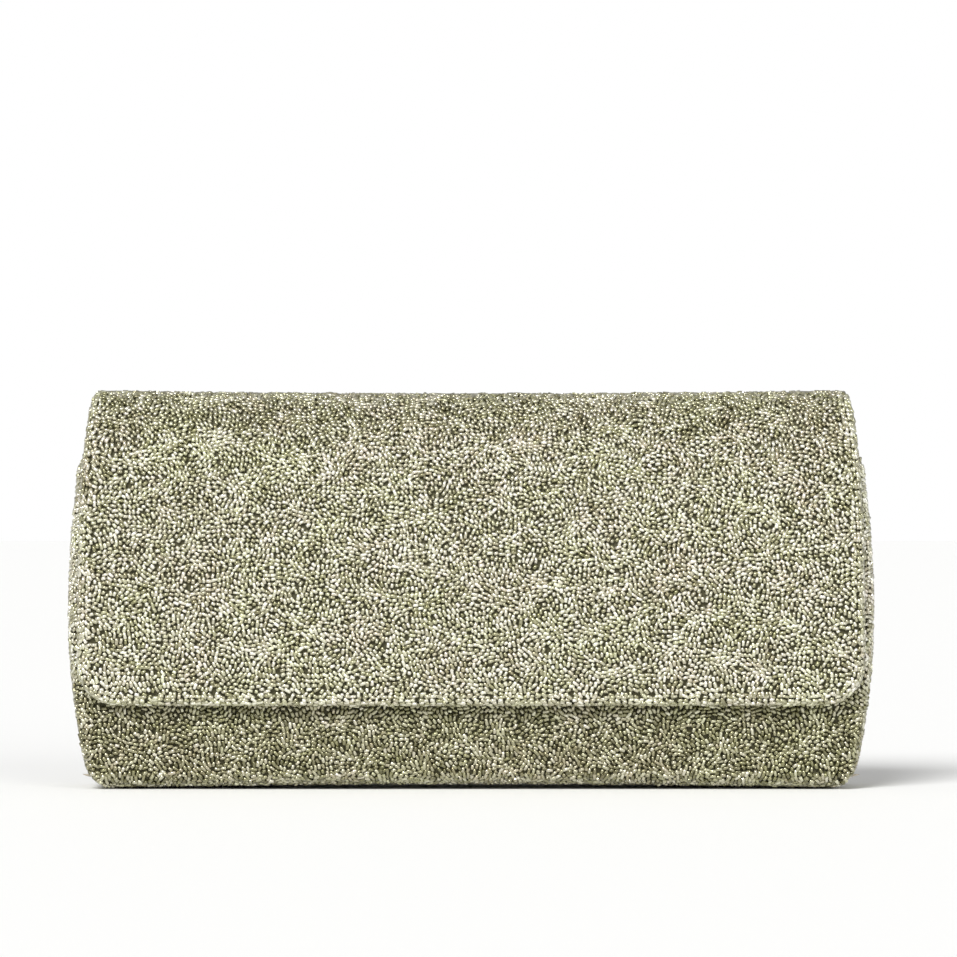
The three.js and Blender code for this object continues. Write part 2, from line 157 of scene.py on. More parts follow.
def catmull_rom(points, per_span):
    """A centripetal Catmull-Rom curve: each span is a cubic whose knots are the roots of its chords."""
    points = np.asarray(points, dtype=float)
    first = 2.0 * points[0] - points[1]
    last = 2.0 * points[-1] - points[-2]
    p = np.vstack([first, points, last])
    gap = np.linalg.norm(np.diff(p, axis=0), axis=1)[:, None] ** 0.5
    g0, g1, g2 = gap[:-2], gap[1:-1], gap[2:]
    a, b, c, d = p[:-3], p[1:-2], p[2:-1], p[3:]
    slope_b = ((b - a) / g0 - (c - a) / (g0 + g1) + (c - b) / g1) * g1
    slope_c = ((c - b) / g1 - (d - b) / (g1 + g2) + (d - c) / g2) * g1
    w = np.linspace(0.0, 1.0, per_span, endpoint=False)[None, :, None]
    b, c, slope_b, slope_c = (v[:, None, :] for v in (b, c, slope_b, slope_c))
    cubic = b + slope_b * w + (3 * c - 3 * b - 2 * slope_b - slope_c) * w**2
    cubic = cubic + (2 * b - 2 * c + slope_b + slope_c) * w**3
    return np.vstack([cubic.reshape(-1, points.shape[1]), points[-1:]])


# %% The strip's path
OVER_THE_TOP = [[12.5, 116.6], [6.5, 119.0], [0.0, 117.2], [-6.0, 111.8], [-9.9, 105.2]]
flap_knots = [[HINGE_Y, HINGE_Z], *OVER_THE_TOP]
for knot_z in np.linspace(MOUTH_Z, FLAP_EDGE_Z, 7):
    flap_knots.append([float(front_y(knot_z)) - PANEL - FLAP_GAP, knot_z])
flap_path = catmull_rom(flap_knots, 60)[::-1]

back_z = np.linspace(HINGE_Z, BASE_RADIUS, 260)
back_path = np.stack([back_y(back_z), back_z], axis=1)
quarter = np.linspace(0.0, math.pi / 2, 40)
back_round_y = BACK_FOOT_Y - BASE_RADIUS + BASE_RADIUS * np.cos(quarter)
back_round = np.stack([back_round_y, BASE_RADIUS - BASE_RADIUS * np.sin(quarter)], axis=1)
front_foot_y = float(front_y(BASE_RADIUS)) + BASE_RADIUS
front_round = np.stack(
    [front_foot_y - BASE_RADIUS * np.sin(quarter), BASE_RADIUS - BASE_RADIUS * np.cos(quarter)], axis=1
)
front_z = np.linspace(BASE_RADIUS, MOUTH_Z - EDGE_ROLL, 260)
front_path = np.stack([front_y(front_z), front_z], axis=1)
lean = front_path[-1] - front_path[-2]
lean = lean / np.linalg.norm(lean)
inwards = np.array([lean[1], -lean[0]])
half_turn = np.linspace(0.0, math.pi, 60)[:, None]
lip = front_path[-1] + EDGE_ROLL * (np.sin(half_turn) * lean + (1.0 - np.cos(half_turn)) * inwards)
lip_tail = lip[-1] - lean * 2.0
path = np.vstack([flap_path, back_path[1:], back_round[1:], front_round, front_path[1:], lip[1:], [lip_tail]])

step = np.linalg.norm(np.diff(path, axis=0), axis=1)
along = np.concatenate([[0.0], np.cumsum(step)])
flap_length = along[len(flap_path) - 1]
along = along - flap_length
STRIP_END = along[-1]
front_start = along[len(path) - 1 - len(lip) - (len(front_path) - 1)]
lip_start = along[len(path) - 1 - len(lip)]
base_start = along[len(flap_path) + len(back_path) - 2]
print(f"flap {flap_length:.1f} long, body {STRIP_END:.1f} long, front from t = {front_start:.1f}")

# %% Tables along the path
TABLE_STEP = 0.25
FLAP_TAPER = 5.6
TAPER_LENGTH = 80.0
table_t = np.arange(-flap_length - 1.0, STRIP_END + 1.0, TABLE_STEP)
table_y = np.interp(table_t, along, path[:, 0])
table_z = np.interp(table_t, along, path[:, 1])
smoothing = np.ones(7) / 7.0
table_y = np.convolve(np.pad(table_y, 3, mode="edge"), smoothing, mode="valid")
table_z = np.convolve(np.pad(table_z, 3, mode="edge"), smoothing, mode="valid")
slope_y, slope_z = np.gradient(table_y), np.gradient(table_z)
slope = np.hypot(slope_y, slope_z)
slope = np.maximum(slope, 1e-6)
slope_y, slope_z = slope_y / slope, slope_z / slope

on_flap = table_t < 0.0
on_back = (table_t >= 0.0) & (table_t < base_start)
on_front = table_t > front_start
flap_half = FLAP_HALF - FLAP_TAPER * np.clip(1.0 + table_t / TAPER_LENGTH, 0.0, 1.0) ** 2
body_width = body_half(table_z) - corner_inset(FOOT_CORNER, table_z)
near_hinge = smooth(table_t / 10.0)
body_width = flap_half[np.argmin(abs(table_t))] * (1.0 - near_hinge) + body_width * near_hinge
table_half = np.where(on_flap, flap_half, body_width)
table_roll = SIDE_ROLL * smooth(table_z / 6.0)
table_roll = np.where(on_flap, EDGE_ROLL, table_roll)
past_hinge = smooth((table_t - 6) / 6)
table_roll = np.where(on_back, EDGE_ROLL + (SIDE_ROLL - EDGE_ROLL) * past_hinge, table_roll)
to_lip = smooth((table_t - lip_start + 6.0) / 6.0)
table_roll = np.where(on_front, SIDE_ROLL + (LIP_ROLL - SIDE_ROLL) * to_lip, table_roll)
table_roll = np.where(on_front | on_flap | on_back, table_roll, SIDE_ROLL * smooth(table_z / 6.0))
table_sweep = np.where(on_flap, 1.0, 1.0 - 0.5 * smooth((table_t - 5.0) / 4.0)) * math.pi
table_tail = np.where(table_t > 7.0, 0.4 * table_roll, 0.0)
table_roll = np.maximum(table_roll, 0.05)
back_crown = 1.0 - np.clip(table_z / HINGE_Z, 0.0, 1.0) ** 3
middle_y = (front_foot_y + BACK_FOOT_Y - BASE_RADIUS) / 2
base_crown = np.clip((middle_y - table_y) / (middle_y - front_foot_y), -1.0, 1.0)
flap_crown = front_crown(np.minimum(table_z, MOUTH_Z)) * np.clip(-table_t / 35.0, 0.0, 1.0)
table_crown = np.where(on_flap, flap_crown, np.where(on_back, -back_crown, base_crown))
table_crown = np.where(on_front, front_crown(table_z), table_crown)


def at(t, table):
    """A table's value at t, by straight lines between its rows."""
    return np.interp(t, table_t, table)


print(f"half width from {table_half.min():.1f} to {table_half.max():.1f}")


# %% [markdown]
# ## Small softnesses
#
# Card and cloth are never as true as a drawing. The real bag's top sinks a little in the
# middle, its base lifts a little between the corners, and the panels are faintly uneven. One
# warp of space gives all layers the same unevenness, so nothing pokes through its neighbour.

# %% The warp
TOP_SAG = 0.9
BASE_LIFT = 1.1
UNEVEN = 0.16
BOW_HALF = 112.0


def warp(p):
    """Moves points: z by a sag and a lift that fade as 1 - (x/112)^2, y by three slow waves."""
    x, y, z = p[..., 0], p[..., 1], p[..., 2]
    bow = np.clip(1.0 - (x / BOW_HALF) ** 2, 0.0, 1.0)
    dz = BASE_LIFT * bow * (1.0 - smooth(z / 18.0)) - TOP_SAG * bow * smooth((z - 92.0) / 22.0)
    waves = np.sin(x / 17.0 + 0.6) * np.sin(z / 13.0 + 0.4) + 0.8 * np.sin(x / 31.0 - z / 23.0)
    return np.stack([x, y + UNEVEN * waves, z + dz], axis=-1)


# %% Points of the strip
NUDGE = 0.1


def strip_surface(u, t, rolled=True):
    """A point of the strip: x = u, (y, z) from the path, y also by crown * (x/118)^2. Past the line
    that is one roll radius inside the outline, it turns around that line: r sin(a) out, r (1 - cos(a)) in."""
    u, t = np.broadcast_arrays(np.asarray(u, float), np.asarray(t, float))
    side = np.where(u < 0.0, -1.0, 1.0)
    beyond_side = abs(u) - (at(t, table_half) - FLAP_CORNER)
    beyond_end = -t - (flap_length - FLAP_CORNER)
    reach = np.hypot(beyond_side, beyond_end) + 1e-9
    in_corner = (beyond_side > 0.0) & (beyond_end > 0.0)
    distance = np.where(in_corner, reach, np.maximum(beyond_side, beyond_end)) - FLAP_CORNER
    sideways = np.where(in_corner, beyond_side / reach, np.where(beyond_side >= beyond_end, 1.0, 0.0))
    endways = np.where(in_corner, beyond_end / reach, np.where(beyond_side >= beyond_end, 0.0, 1.0))
    roll = at(t, table_roll)
    sweep = at(t, table_sweep)
    e = np.maximum(distance + roll, 0.0) * (1.0 if rolled else 0.0)
    base_u = abs(u) - e * sideways
    base_t = t + e * endways
    angle = np.minimum(e / roll, sweep)
    rest = e - roll * angle
    out = roll * np.sin(angle) + rest * np.cos(sweep)
    down = roll * (1.0 - np.cos(angle)) + rest * np.sin(sweep)
    ty, tz = at(base_t, slope_y), at(base_t, slope_z)
    x = side * (base_u + out * sideways)
    crown = at(base_t, table_crown) * (x / CROWN_HALF) ** 2
    y = at(base_t, table_y) + crown - out * endways * ty + down * tz
    z = at(base_t, table_z) - out * endways * tz - down * ty
    return warp(np.stack([x, y, z], axis=-1))


def with_frame(surface, u, t, side=1.0):
    """The point, the two unit tangents and the outward unit normal, by differences 0.1 mm either way."""
    du = surface(u + NUDGE, t) - surface(u - NUDGE, t)
    dt = surface(u, t + NUDGE) - surface(u, t - NUDGE)
    normal = side * np.cross(du, dt)
    size = np.linalg.norm(normal, axis=-1, keepdims=True)
    normal = normal / np.maximum(size, 1e-9)
    du = du / np.maximum(np.linalg.norm(du, axis=-1, keepdims=True), 1e-9)
    dt = dt / np.maximum(np.linalg.norm(dt, axis=-1, keepdims=True), 1e-9)
    return surface(u, t), du, dt, normal


def flat_strip(u, t):
    """The strip's surface without its rolled edges."""
    return strip_surface(u, t, rolled=False)


top_of_flap = strip_surface(np.zeros(200), np.linspace(-flap_length, 0.0, 200))
print("flap top", top_of_flap[:, 2].max().round(2), "flap front", top_of_flap[:, 1].min().round(2))

# %% [markdown]
# ## The ends of the bag
#
# Each end is closed by a gusset, a beaded cloth between the front and the back panel. Below, it
# turns under the base in a round of 7.5 mm. It is narrow, and it folds inwards a little along
# its middle when the bag is shut. Its surface is a function of y and of the length w up the end.

# %% Points of a gusset
GUSSET_RECESS = 0.25
GUSSET_FOLD = 1.3
GUSSET_TOP_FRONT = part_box("left_gusset_cover")[1][2] / MM - 7.0
GUSSET_TOP_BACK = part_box("left_gusset_cover")[1][2] / MM
TOP_SLOPE_FROM = -4.0
TOP_SLOPE_WIDTH = 17.0
end_turn = np.linspace(0.0, math.pi / 2, 60)
end_z = np.concatenate([FOOT_CORNER * (1.0 - np.cos(end_turn)), np.linspace(FOOT_CORNER, 112.0, 220)[1:]])
end_x = body_half(end_z) - corner_inset(FOOT_CORNER, end_z) - GUSSET_RECESS
end_w = np.concatenate([[0.0], np.cumsum(np.hypot(np.diff(end_x), np.diff(end_z)))])


def end_edges(w):
    """The gusset's front and back edge at w: the panels' profiles, one panel thickness in."""
    z = np.interp(w, end_w, end_z)
    low = np.clip(z, 0.0, BASE_RADIUS)
    pull = np.sqrt(np.maximum(BASE_RADIUS**2 - (BASE_RADIUS - low) ** 2, 0.0))
    front = np.where(z < BASE_RADIUS, front_foot_y - pull, front_y(z))
    back = np.where(z < BASE_RADIUS, BACK_FOOT_Y - BASE_RADIUS + pull, back_y(z))
    x = np.interp(w, end_w, end_x)
    front = front + front_crown(z) * (x / CROWN_HALF) ** 2
    back = back - (1.0 - np.clip(z / HINGE_Z, 0, 1) ** 3) * (x / CROWN_HALF) ** 2
    seam = 1.4 * SIDE_ROLL * smooth(z / 6.0)
    return front + seam, back - seam


def gusset_top(y):
    """The length w at which the gusset ends: its top edge rises from the front to the back."""
    share = np.clip((y - TOP_SLOPE_FROM) / TOP_SLOPE_WIDTH, 0.0, 1.0)
    height = GUSSET_TOP_FRONT + share * (GUSSET_TOP_BACK - GUSSET_TOP_FRONT)
    return np.interp(height, end_z, end_w)


def gusset_surface(side):
    """Gives the function of (y, w) for one end: x and z from the end's curve, with a soft fold."""

    def surface(y, w):
        """A point of the end: x less a fold of sin(pi s)^2, with s the share of the way from the front."""
        front, back = end_edges(w)
        z = np.interp(w, end_w, end_z)
        share = np.clip((y - front) / (back - front), 0.0, 1.0)
        fold = GUSSET_FOLD * np.sin(math.pi * share) ** 2 * smooth((z - 15.0) / 70.0)
        x = side * (np.interp(w, end_w, end_x) - fold)
        return warp(np.stack([x, y + 0.0 * w, z + 0.0 * y], axis=-1))

    return surface


print(f"gusset {end_w[-1]:.0f} long, {np.ptp(end_edges(np.array([60.0]))):.1f} wide at half height")

# %% [markdown]
# ## Laying the beads
#
# The beads are short cut tubes, sewn down close together in swirling lines. They could be
# scattered by an instancer, but random points leave heaps and bald patches. Here they are
# pushed apart like grains in a tray. A smooth line field says which way each bead points, and
# two beads that sit closer than a bead's length along it, or a bead's width across it, push
# each other away. After some forty rounds they lie close and even, in short curving rows.

# %% The line field
PITCH_LONG = 2.04
PITCH_WIDE = 1.26
HEX_SHARE = 0.866
CROWDING = 0.97
BEAD_AREA = HEX_SHARE * PITCH_LONG * PITCH_WIDE * CROWDING


def line_field(seed, shortest, longest, waves=28):
    """A field of line directions: half the angle of a sum of plane waves with random phases."""
    rng = np.random.default_rng(seed)
    length = rng.uniform(shortest, longest, waves)
    heading = rng.uniform(0.0, 2.0 * math.pi, waves)
    phase = rng.uniform(0.0, 2.0 * math.pi, waves)
    kx = 2.0 * math.pi / length * np.cos(heading)
    ky = 2.0 * math.pi / length * np.sin(heading)

    def angle(p):
        """The line's angle at each point: half the angle of the summed waves."""
        turns = p[:, 0:1] * kx + p[:, 1:2] * ky + phase
        return 0.5 * np.arctan2(np.sin(turns).sum(axis=1), np.cos(turns).sum(axis=1))

    return angle


# %% Pushing the beads apart
CELL = 2.08
PUSH_SHARE = 0.45
START_SHAKE = 0.45


def neighbour_pairs(p):
    """Pairs of points in the same or touching square cells, each pair once."""
    cell = np.floor(p / CELL).astype(np.int64)
    cell = cell - cell.min(axis=0) + 1
    wide = cell[:, 0].max() + 2
    key = cell[:, 0] + cell[:, 1] * wide
    cells = wide * (cell[:, 1].max() + 2)
    order = np.argsort(key, kind="stable")
    count = np.bincount(key, minlength=cells)
    start = np.cumsum(count) - count
    table = np.full((cells, count.max()), -1, dtype=np.int64)
    table[key[order], np.arange(len(p)) - start[key[order]]] = order
    firsts, seconds = [], []
    for shift in (0, 1, wide - 1, wide, wide + 1):
        near = table[key + shift]
        i, column = np.nonzero(near >= 0)
        j = near[i, column]
        if shift == 0:
            keep = j > i
            i, j = i[keep], j[keep]
        firsts.append(i)
        seconds.append(j)
    return np.concatenate(firsts), np.concatenate(seconds)


def push_apart(p, angle, inside, rounds):
    """Each round moves close pairs apart by their overlap: u along and v across the mean line
    direction, in bead lengths and widths, and q = sqrt(u^2 + v^2) pushed towards 1."""
    for _ in range(rounds):
        theta = angle(p)
        c2, s2 = np.cos(2.0 * theta), np.sin(2.0 * theta)
        i, j = neighbour_pairs(p)
        d = p[j] - p[i]
        close = (d**2).sum(axis=1) < PITCH_LONG**2
        i, j, d = i[close], j[close], d[close]
        mean = 0.5 * np.arctan2(s2[i] + s2[j], c2[i] + c2[j])
        ca, sa = np.cos(mean), np.sin(mean)
        u = (d[:, 0] * ca + d[:, 1] * sa) / PITCH_LONG
        v = (d[:, 1] * ca - d[:, 0] * sa) / PITCH_WIDE
        q = np.sqrt(u * u + v * v) + 1e-9
        push = 0.5 * np.maximum(1.0 - q, 0.0) / q
        gu, gv = u * push * PITCH_LONG, v * push * PITCH_WIDE
        for axis, g in enumerate((gu * ca - gv * sa, gu * sa + gv * ca)):
            move = np.bincount(j, g, len(p)) - np.bincount(i, g, len(p))
            p[:, axis] += PUSH_SHARE * move
        p = inside(p)
    return p


def even_start(low, high, seed):
    """A grid of points, one per bead's share of cloth, each shaken a little."""
    rng = np.random.default_rng(seed)
    size = np.asarray(high) - np.asarray(low)
    columns = int(round(size[0] / math.sqrt(BEAD_AREA)))
    rows = int(round(size[0] * size[1] / BEAD_AREA / columns))
    gx, gy = np.meshgrid((np.arange(columns) + 0.5) / columns, (np.arange(rows) + 0.5) / rows)
    p = np.stack([gx.ravel(), gy.ravel()], axis=1) * size + low
    return p + rng.normal(0.0, START_SHAKE, p.shape)


# %% Where the snap sits
SNAP_Z = float(np.mean([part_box("snap_socket")[0][2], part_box("snap_socket")[1][2]])) / MM
SNAP_CLEAR = 8.5
snap_t = float(np.interp(SNAP_Z, table_z[on_front], table_t[on_front]))
stud_t = float(np.interp(SNAP_Z, table_z[on_flap][:300], table_t[on_flap][:300]))
print(f"snap at t = {snap_t:.1f} on the front and t = {stud_t:.1f} on the flap")

# %% Beads on the strip
RIM_BAND = 3.5
LIP_BAND = 2.0
ROUNDS = 40
STRIP_HALF = 124.0


def outline_distance(p):
    """Distance to the flap's outline, below zero inside, and the way out of it as a unit vector."""
    beyond_side = abs(p[:, 0]) - (at(p[:, 1], table_half) - FLAP_CORNER)
    beyond_end = -p[:, 1] - (flap_length - FLAP_CORNER)
    reach = np.hypot(beyond_side, beyond_end) + 1e-9
    corner = (beyond_side > 0.0) & (beyond_end > 0.0)
    distance = np.where(corner, reach, np.maximum(beyond_side, beyond_end)) - FLAP_CORNER
    by_side = beyond_side >= beyond_end
    out_u = np.where(corner, beyond_side / reach, np.where(by_side, 1.0, 0.0)) * np.sign(p[:, 0])
    out_t = -np.where(corner, beyond_end / reach, np.where(by_side, 0.0, 1.0))
    return distance, np.stack([out_u, out_t], axis=1)


def strip_reach(t):
    """How far past the outline the cloth goes around a side edge of the body."""
    roll = at(t, table_roll)
    return roll * at(t, table_sweep) + at(t, table_tail) - roll


def inside_strip(p):
    """Brings stray points back: into the flap's rim, and within the rolled sides of the body."""
    distance, out = outline_distance(p)
    over = np.where(p[:, 1] < 0.0, distance + RIM_BAND, -1.0)
    p = p - np.maximum(over, 0.0)[:, None] * out
    limit = at(p[:, 1], table_half) + strip_reach(p[:, 1]) - 0.4
    on_body = p[:, 1] >= 0.0
    p[:, 0] = np.where(on_body, np.clip(p[:, 0], -limit, limit), p[:, 0])
    p[:, 1] = np.minimum(p[:, 1], lip_start - LIP_BAND)
    from_snap = p - [0.0, snap_t]
    reach = np.maximum(np.linalg.norm(from_snap, axis=1, keepdims=True), 1e-6)
    return np.where(reach < SNAP_CLEAR, [0.0, snap_t] + from_snap / reach * SNAP_CLEAR, p)


swirls = line_field(3, 7.0, 17.0)
strip_beads = even_start([-STRIP_HALF, -flap_length], [STRIP_HALF, lip_start - LIP_BAND], 11)
distance, _ = outline_distance(strip_beads)
fits = np.where(strip_beads[:, 1] < 0.0, distance < -RIM_BAND, True)
fits &= abs(strip_beads[:, 0]) < at(strip_beads[:, 1], table_half) + strip_reach(strip_beads[:, 1])
fits &= np.linalg.norm(strip_beads - [0.0, snap_t], axis=1) > SNAP_CLEAR
strip_beads = push_apart(strip_beads[fits], swirls, inside_strip, ROUNDS)
print(len(strip_beads), "beads on the strip")

# %% [markdown]
# ## Edges in tight rows
#
# The flap's rim and the mouth's lip are bound with beads laid end to end, so these are placed,
# not pushed: rows that run parallel to the outline, over the edge and round to the lining.

# %% Beads along the edges
ROW_STEP = 1.14
RIM_ROWS = 7
RIM_FIRST = -2.9
RIM_PITCH = 1.82
LIP_ROWS = 10
LIP_PITCH = 1.8


def outline(offset):
    """The flap's outline moved outwards by an offset: one side, a quarter round, the lower edge
    and the same again mirrored, as one line of (u, t)."""
    side_t = np.linspace(0.0, -(flap_length - FLAP_CORNER), 240)
    side = np.stack([at(side_t, table_half) + offset, side_t], axis=1)
    turn = np.linspace(0.0, math.pi / 2, 40)
    centre_u = at(-(flap_length - FLAP_CORNER), table_half) - FLAP_CORNER
    radius = FLAP_CORNER + offset
    corner_u = centre_u + radius * np.cos(turn)
    corner_t = -(flap_length - FLAP_CORNER) - radius * np.sin(turn)
    half = np.vstack([side, np.stack([corner_u, corner_t], axis=1)[1:]])
    return np.vstack([half, half[::-1] * [-1.0, 1.0]])


def beads_along(line, pitch, seed, shake=0.10):
    """Points a pitch apart on a line, each shaken a little, and the line's direction there."""
    rng = np.random.default_rng(seed)
    length = np.concatenate([[0.0], np.cumsum(np.linalg.norm(np.diff(line, axis=0), axis=1))])
    count = int(length[-1] / pitch)
    s = (np.arange(count) + rng.uniform(0.2, 0.8)) * length[-1] / count
    s = s + rng.normal(0.0, shake, count)
    p = np.stack([np.interp(s, length, line[:, k]) for k in range(2)], axis=1)
    ahead = np.stack([np.interp(s + 0.4, length, line[:, k]) for k in range(2)], axis=1)
    behind = np.stack([np.interp(s - 0.4, length, line[:, k]) for k in range(2)], axis=1)
    way = ahead - behind
    return p + rng.normal(0.0, shake, p.shape), np.arctan2(way[:, 1], way[:, 0])


rim_rows = [beads_along(outline(RIM_FIRST + k * ROW_STEP), RIM_PITCH, 40 + k, 0.16) for k in range(RIM_ROWS)]
rim_beads = np.vstack([p for p, _ in rim_rows])
rim_angle = np.concatenate([a for _, a in rim_rows])

lip_rows = []
for k in range(LIP_ROWS):
    row_t = lip_start - LIP_BAND + 0.9 + k * ROW_STEP
    reach = float(at(row_t, table_half) + strip_reach(row_t)) - 0.4
    row = np.array([[-reach, row_t], [0.0, row_t], [reach, row_t]])
    lip_rows.append(beads_along(row, LIP_PITCH, 60 + k))
lip_beads = np.vstack([p for p, _ in lip_rows])
lip_angle = np.concatenate([a for _, a in lip_rows])
print(len(rim_beads), "beads on the rim,", len(lip_beads), "on the lip")

# %% Beads on the gussets
def inside_gusset(p):
    """Brings stray points of (y, w) back between the gusset's seams and under its top edge."""
    front, back = end_edges(p[:, 1])
    p[:, 0] = np.clip(p[:, 0], front + 0.3, back - 0.3)
    p[:, 1] = np.clip(p[:, 1], 0.4, gusset_top(p[:, 0]) - 0.4)
    return p


gusset_beads = {}
for side, name, seed in ((-1.0, "left", 21), (1.0, "right", 22)):
    start = even_start([-14.0, 0.0], [20.0, 112.0], seed)
    front, back = end_edges(start[:, 1])
    fits = (start[:, 0] > front) & (start[:, 0] < back) & (start[:, 1] < gusset_top(start[:, 0]))
    field = line_field(seed + 9, 7.0, 17.0)
    points = push_apart(start[fits], field, inside_gusset, ROUNDS)
    gusset_beads[name] = (side, points, field(points))
    print(name, len(points), "gusset beads")

# %% [markdown]
# ## The beads' mesh
#
# A cut glass bead is a little six-sided tube with worn ends. Over forty thousand of them need
# a shape with very few faces, so each is one six-sided barrel with blunt tips: 14 points and 24
# triangles. Smooth shading rounds it. Real beads differ, so length, thickness, turn and tilt
# vary from bead to bead, and so does a tint that is stored on the faces for the material.

# %% One bead, and thousands of them
BEAD_HALF_LENGTH = 0.78
BEAD_RADIUS = 0.59
BEAD_SIDES = 6
turn = np.arange(BEAD_SIDES) * (2.0 * math.pi / BEAD_SIDES)
ring = np.stack([np.zeros(BEAD_SIDES), np.cos(turn), np.sin(turn)], axis=1)
tip = 1.0 + 0.34 * BEAD_RADIUS / BEAD_HALF_LENGTH
bead_points = np.vstack([[[-tip, 0, 0]], ring - [1, 0, 0], ring + [1, 0, 0], [[tip, 0, 0]]])
near_end = 1 + np.arange(BEAD_SIDES)
near_next = 1 + near_end % BEAD_SIDES
far_end, far_next = near_end + BEAD_SIDES, near_next + BEAD_SIDES
first_tip = np.zeros_like(near_end)
last_tip = first_tip + 2 * BEAD_SIDES + 1
bead_faces = np.stack(
    [
        np.stack([first_tip, near_next, near_end], axis=1),
        np.stack([near_end, near_next, far_end], axis=1),
        np.stack([near_next, far_next, far_end], axis=1),
        np.stack([last_tip, far_end, far_next], axis=1),
    ],
    axis=1,
).reshape(-1, 3)
print("one bead:", len(bead_points), "points,", len(bead_faces), "triangles")


def mesh_object(name, points, faces, material, smooth_faces=True):
    """Makes an object at the origin from points in millimetres and equal faces, all at once."""
    mesh = bpy.data.meshes.new(name)
    points = np.ascontiguousarray(points.reshape(-1, 3) * MM, dtype=np.float32)
    faces = np.ascontiguousarray(faces, dtype=np.int32)
    mesh.vertices.add(len(points))
    mesh.vertices.foreach_set("co", points.ravel())
    mesh.loops.add(faces.size)
    mesh.loops.foreach_set("vertex_index", faces.ravel())
    mesh.polygons.add(len(faces))
    mesh.polygons.foreach_set("loop_start", np.arange(len(faces), dtype=np.int32) * faces.shape[1])
    mesh.update(calc_edges=True)
    mesh.polygons.foreach_set("use_smooth", np.full(len(faces), smooth_faces))
    mesh.materials.append(material)
    obj = bpy.data.objects.new(name, mesh)
    bpy.context.scene.collection.objects.link(obj)
    return obj


# %% How the beads differ
SIT_DEPTH = 0.56
SIT_SPREAD = 0.11
TILT_SPREAD = 0.10
THICK_SPREAD = 0.08
LONG_SPREAD = 0.17
TINT_SHAPE = (4.2, 3.6)


def place_beads(surface, u, t, angle, seed, side=1.0, plump=1.0, tint_shift=0.0, loose=0.27, sink=0.0):
    """Puts beads on a surface: each lies along cos(a) du + sin(a) dt, its centre about a radius deep.
    Returns a record of centres, frames, tints, hues and lengths t."""
    rng = np.random.default_rng(seed)
    n = len(u)
    point, du, dt, normal = with_frame(surface, u, t, side)
    angle = angle + rng.normal(0.0, loose, n)
    along_bead = np.cos(angle)[:, None] * du + np.sin(angle)[:, None] * dt
    across = np.cross(normal, along_bead)
    across = across / np.maximum(np.linalg.norm(across, axis=1, keepdims=True), 1e-9)
    along_bead = np.cross(across, normal)
    tilt = rng.normal(0.0, TILT_SPREAD, n)[:, None]
    along_bead = along_bead * np.cos(tilt) + normal * np.sin(tilt)
    up = np.cross(along_bead, across)
    roll_turn = rng.uniform(0.0, math.pi / 3, n)[:, None]
    second = across * np.cos(roll_turn) + up * np.sin(roll_turn)
    third = np.cross(along_bead, second)
    radius = BEAD_RADIUS * plump * np.clip(rng.normal(1.0, THICK_SPREAD, n), 0.8, 1.2)
    half = BEAD_HALF_LENGTH * np.clip(rng.normal(1.0, LONG_SPREAD, n), 0.6, 1.4)
    depth = SIT_DEPTH + rng.normal(0.0, SIT_SPREAD, n) + sink
    tint = np.clip(rng.beta(*TINT_SHAPE, n) + tint_shift, 0.0, 1.0)
    hue = rng.normal(0.0, 1.0, n)
    half, radius = half[:, None], radius[:, None]
    return {
        "centre": point - normal * depth[:, None],
        "frame": np.stack([along_bead * half, second * radius, third * radius], axis=1),
        "tint": tint,
        "hue": hue,
        "t": t,
    }


def only(beads, keep):
    """The beads that a true or false list keeps."""
    return {key: value[keep] for key, value in beads.items()}


def joined(*sets):
    """Several records of beads as one."""
    return {key: np.concatenate([s[key] for s in sets]) for key in sets[0]}


def bead_piece(name, beads, material):
    """One mesh of many beads: every bead's points are its frame times the bead's shape."""
    n = len(beads["centre"])
    points = np.einsum("pk,nkc->npc", bead_points, beads["frame"]) + beads["centre"][:, None, :]
    faces = bead_faces[None] + len(bead_points) * np.arange(n)[:, None, None]
    obj = mesh_object(name, points, faces.reshape(-1, 3), material)
    obj.data.polygons.foreach_set("use_smooth", np.tile([False, True, True, False], n * BEAD_SIDES))
    for key in ("tint", "hue"):
        layer = obj.data.attributes.new(key, "FLOAT", "FACE")
        layer.data.foreach_set("value", np.repeat(beads[key], len(bead_faces)).astype(np.float32))
    print(f"{name}: {n} beads, {n * len(bead_faces)} triangles")
    return obj


# %% [markdown]
# ## Finishes
#
# The beads are champagne glass with a silver lining: clear, but as bright as metal. Real glass
# would need many bounces of light and would look dull when exported, so a metallic base under a
# clear coat stands for it. Each bead's tint picks a colour between dark olive and pale
# champagne, and slow patches over the cloth lean to olive, to grey or to a warm taupe. On the
# strip the tint also carries painted shade below the flap and over its top, and painted light
# beside the flap. The rim and lip beads use a copy whose colours are a little lighter: painted light.

# %% A principled material
def new_material(name, base, roughness, metallic=0.0, **sockets):
    """A node material with constants set on the shader's own sockets."""
    material = bpy.data.materials.new(name)
    material.use_nodes = True
    shader = material.node_tree.nodes["Principled BSDF"]
    shader.inputs["Base Color"].default_value = (*base, 1.0)
    shader.inputs["Roughness"].default_value = roughness
    shader.inputs["Metallic"].default_value = metallic
    for socket, value in sockets.items():
        shader.inputs[socket.replace("_", " ")].default_value = value
    return material, material.node_tree, shader


def add(tree, kind, **values):
    """Adds a node and sets its plain properties."""
    node = tree.nodes.new(kind)
    for key, value in values.items():
        setattr(node, key, value)
    return node


def set_ramp(node, stops):
    """Gives a colour ramp its stops, each a place and a colour."""
    ramp = node.color_ramp
    while len(ramp.elements) < len(stops):
        ramp.elements.new(0.5)
    for element, (place, colour) in zip(ramp.elements, stops):
        element.position = place
        element.color = (*colour, 1.0)


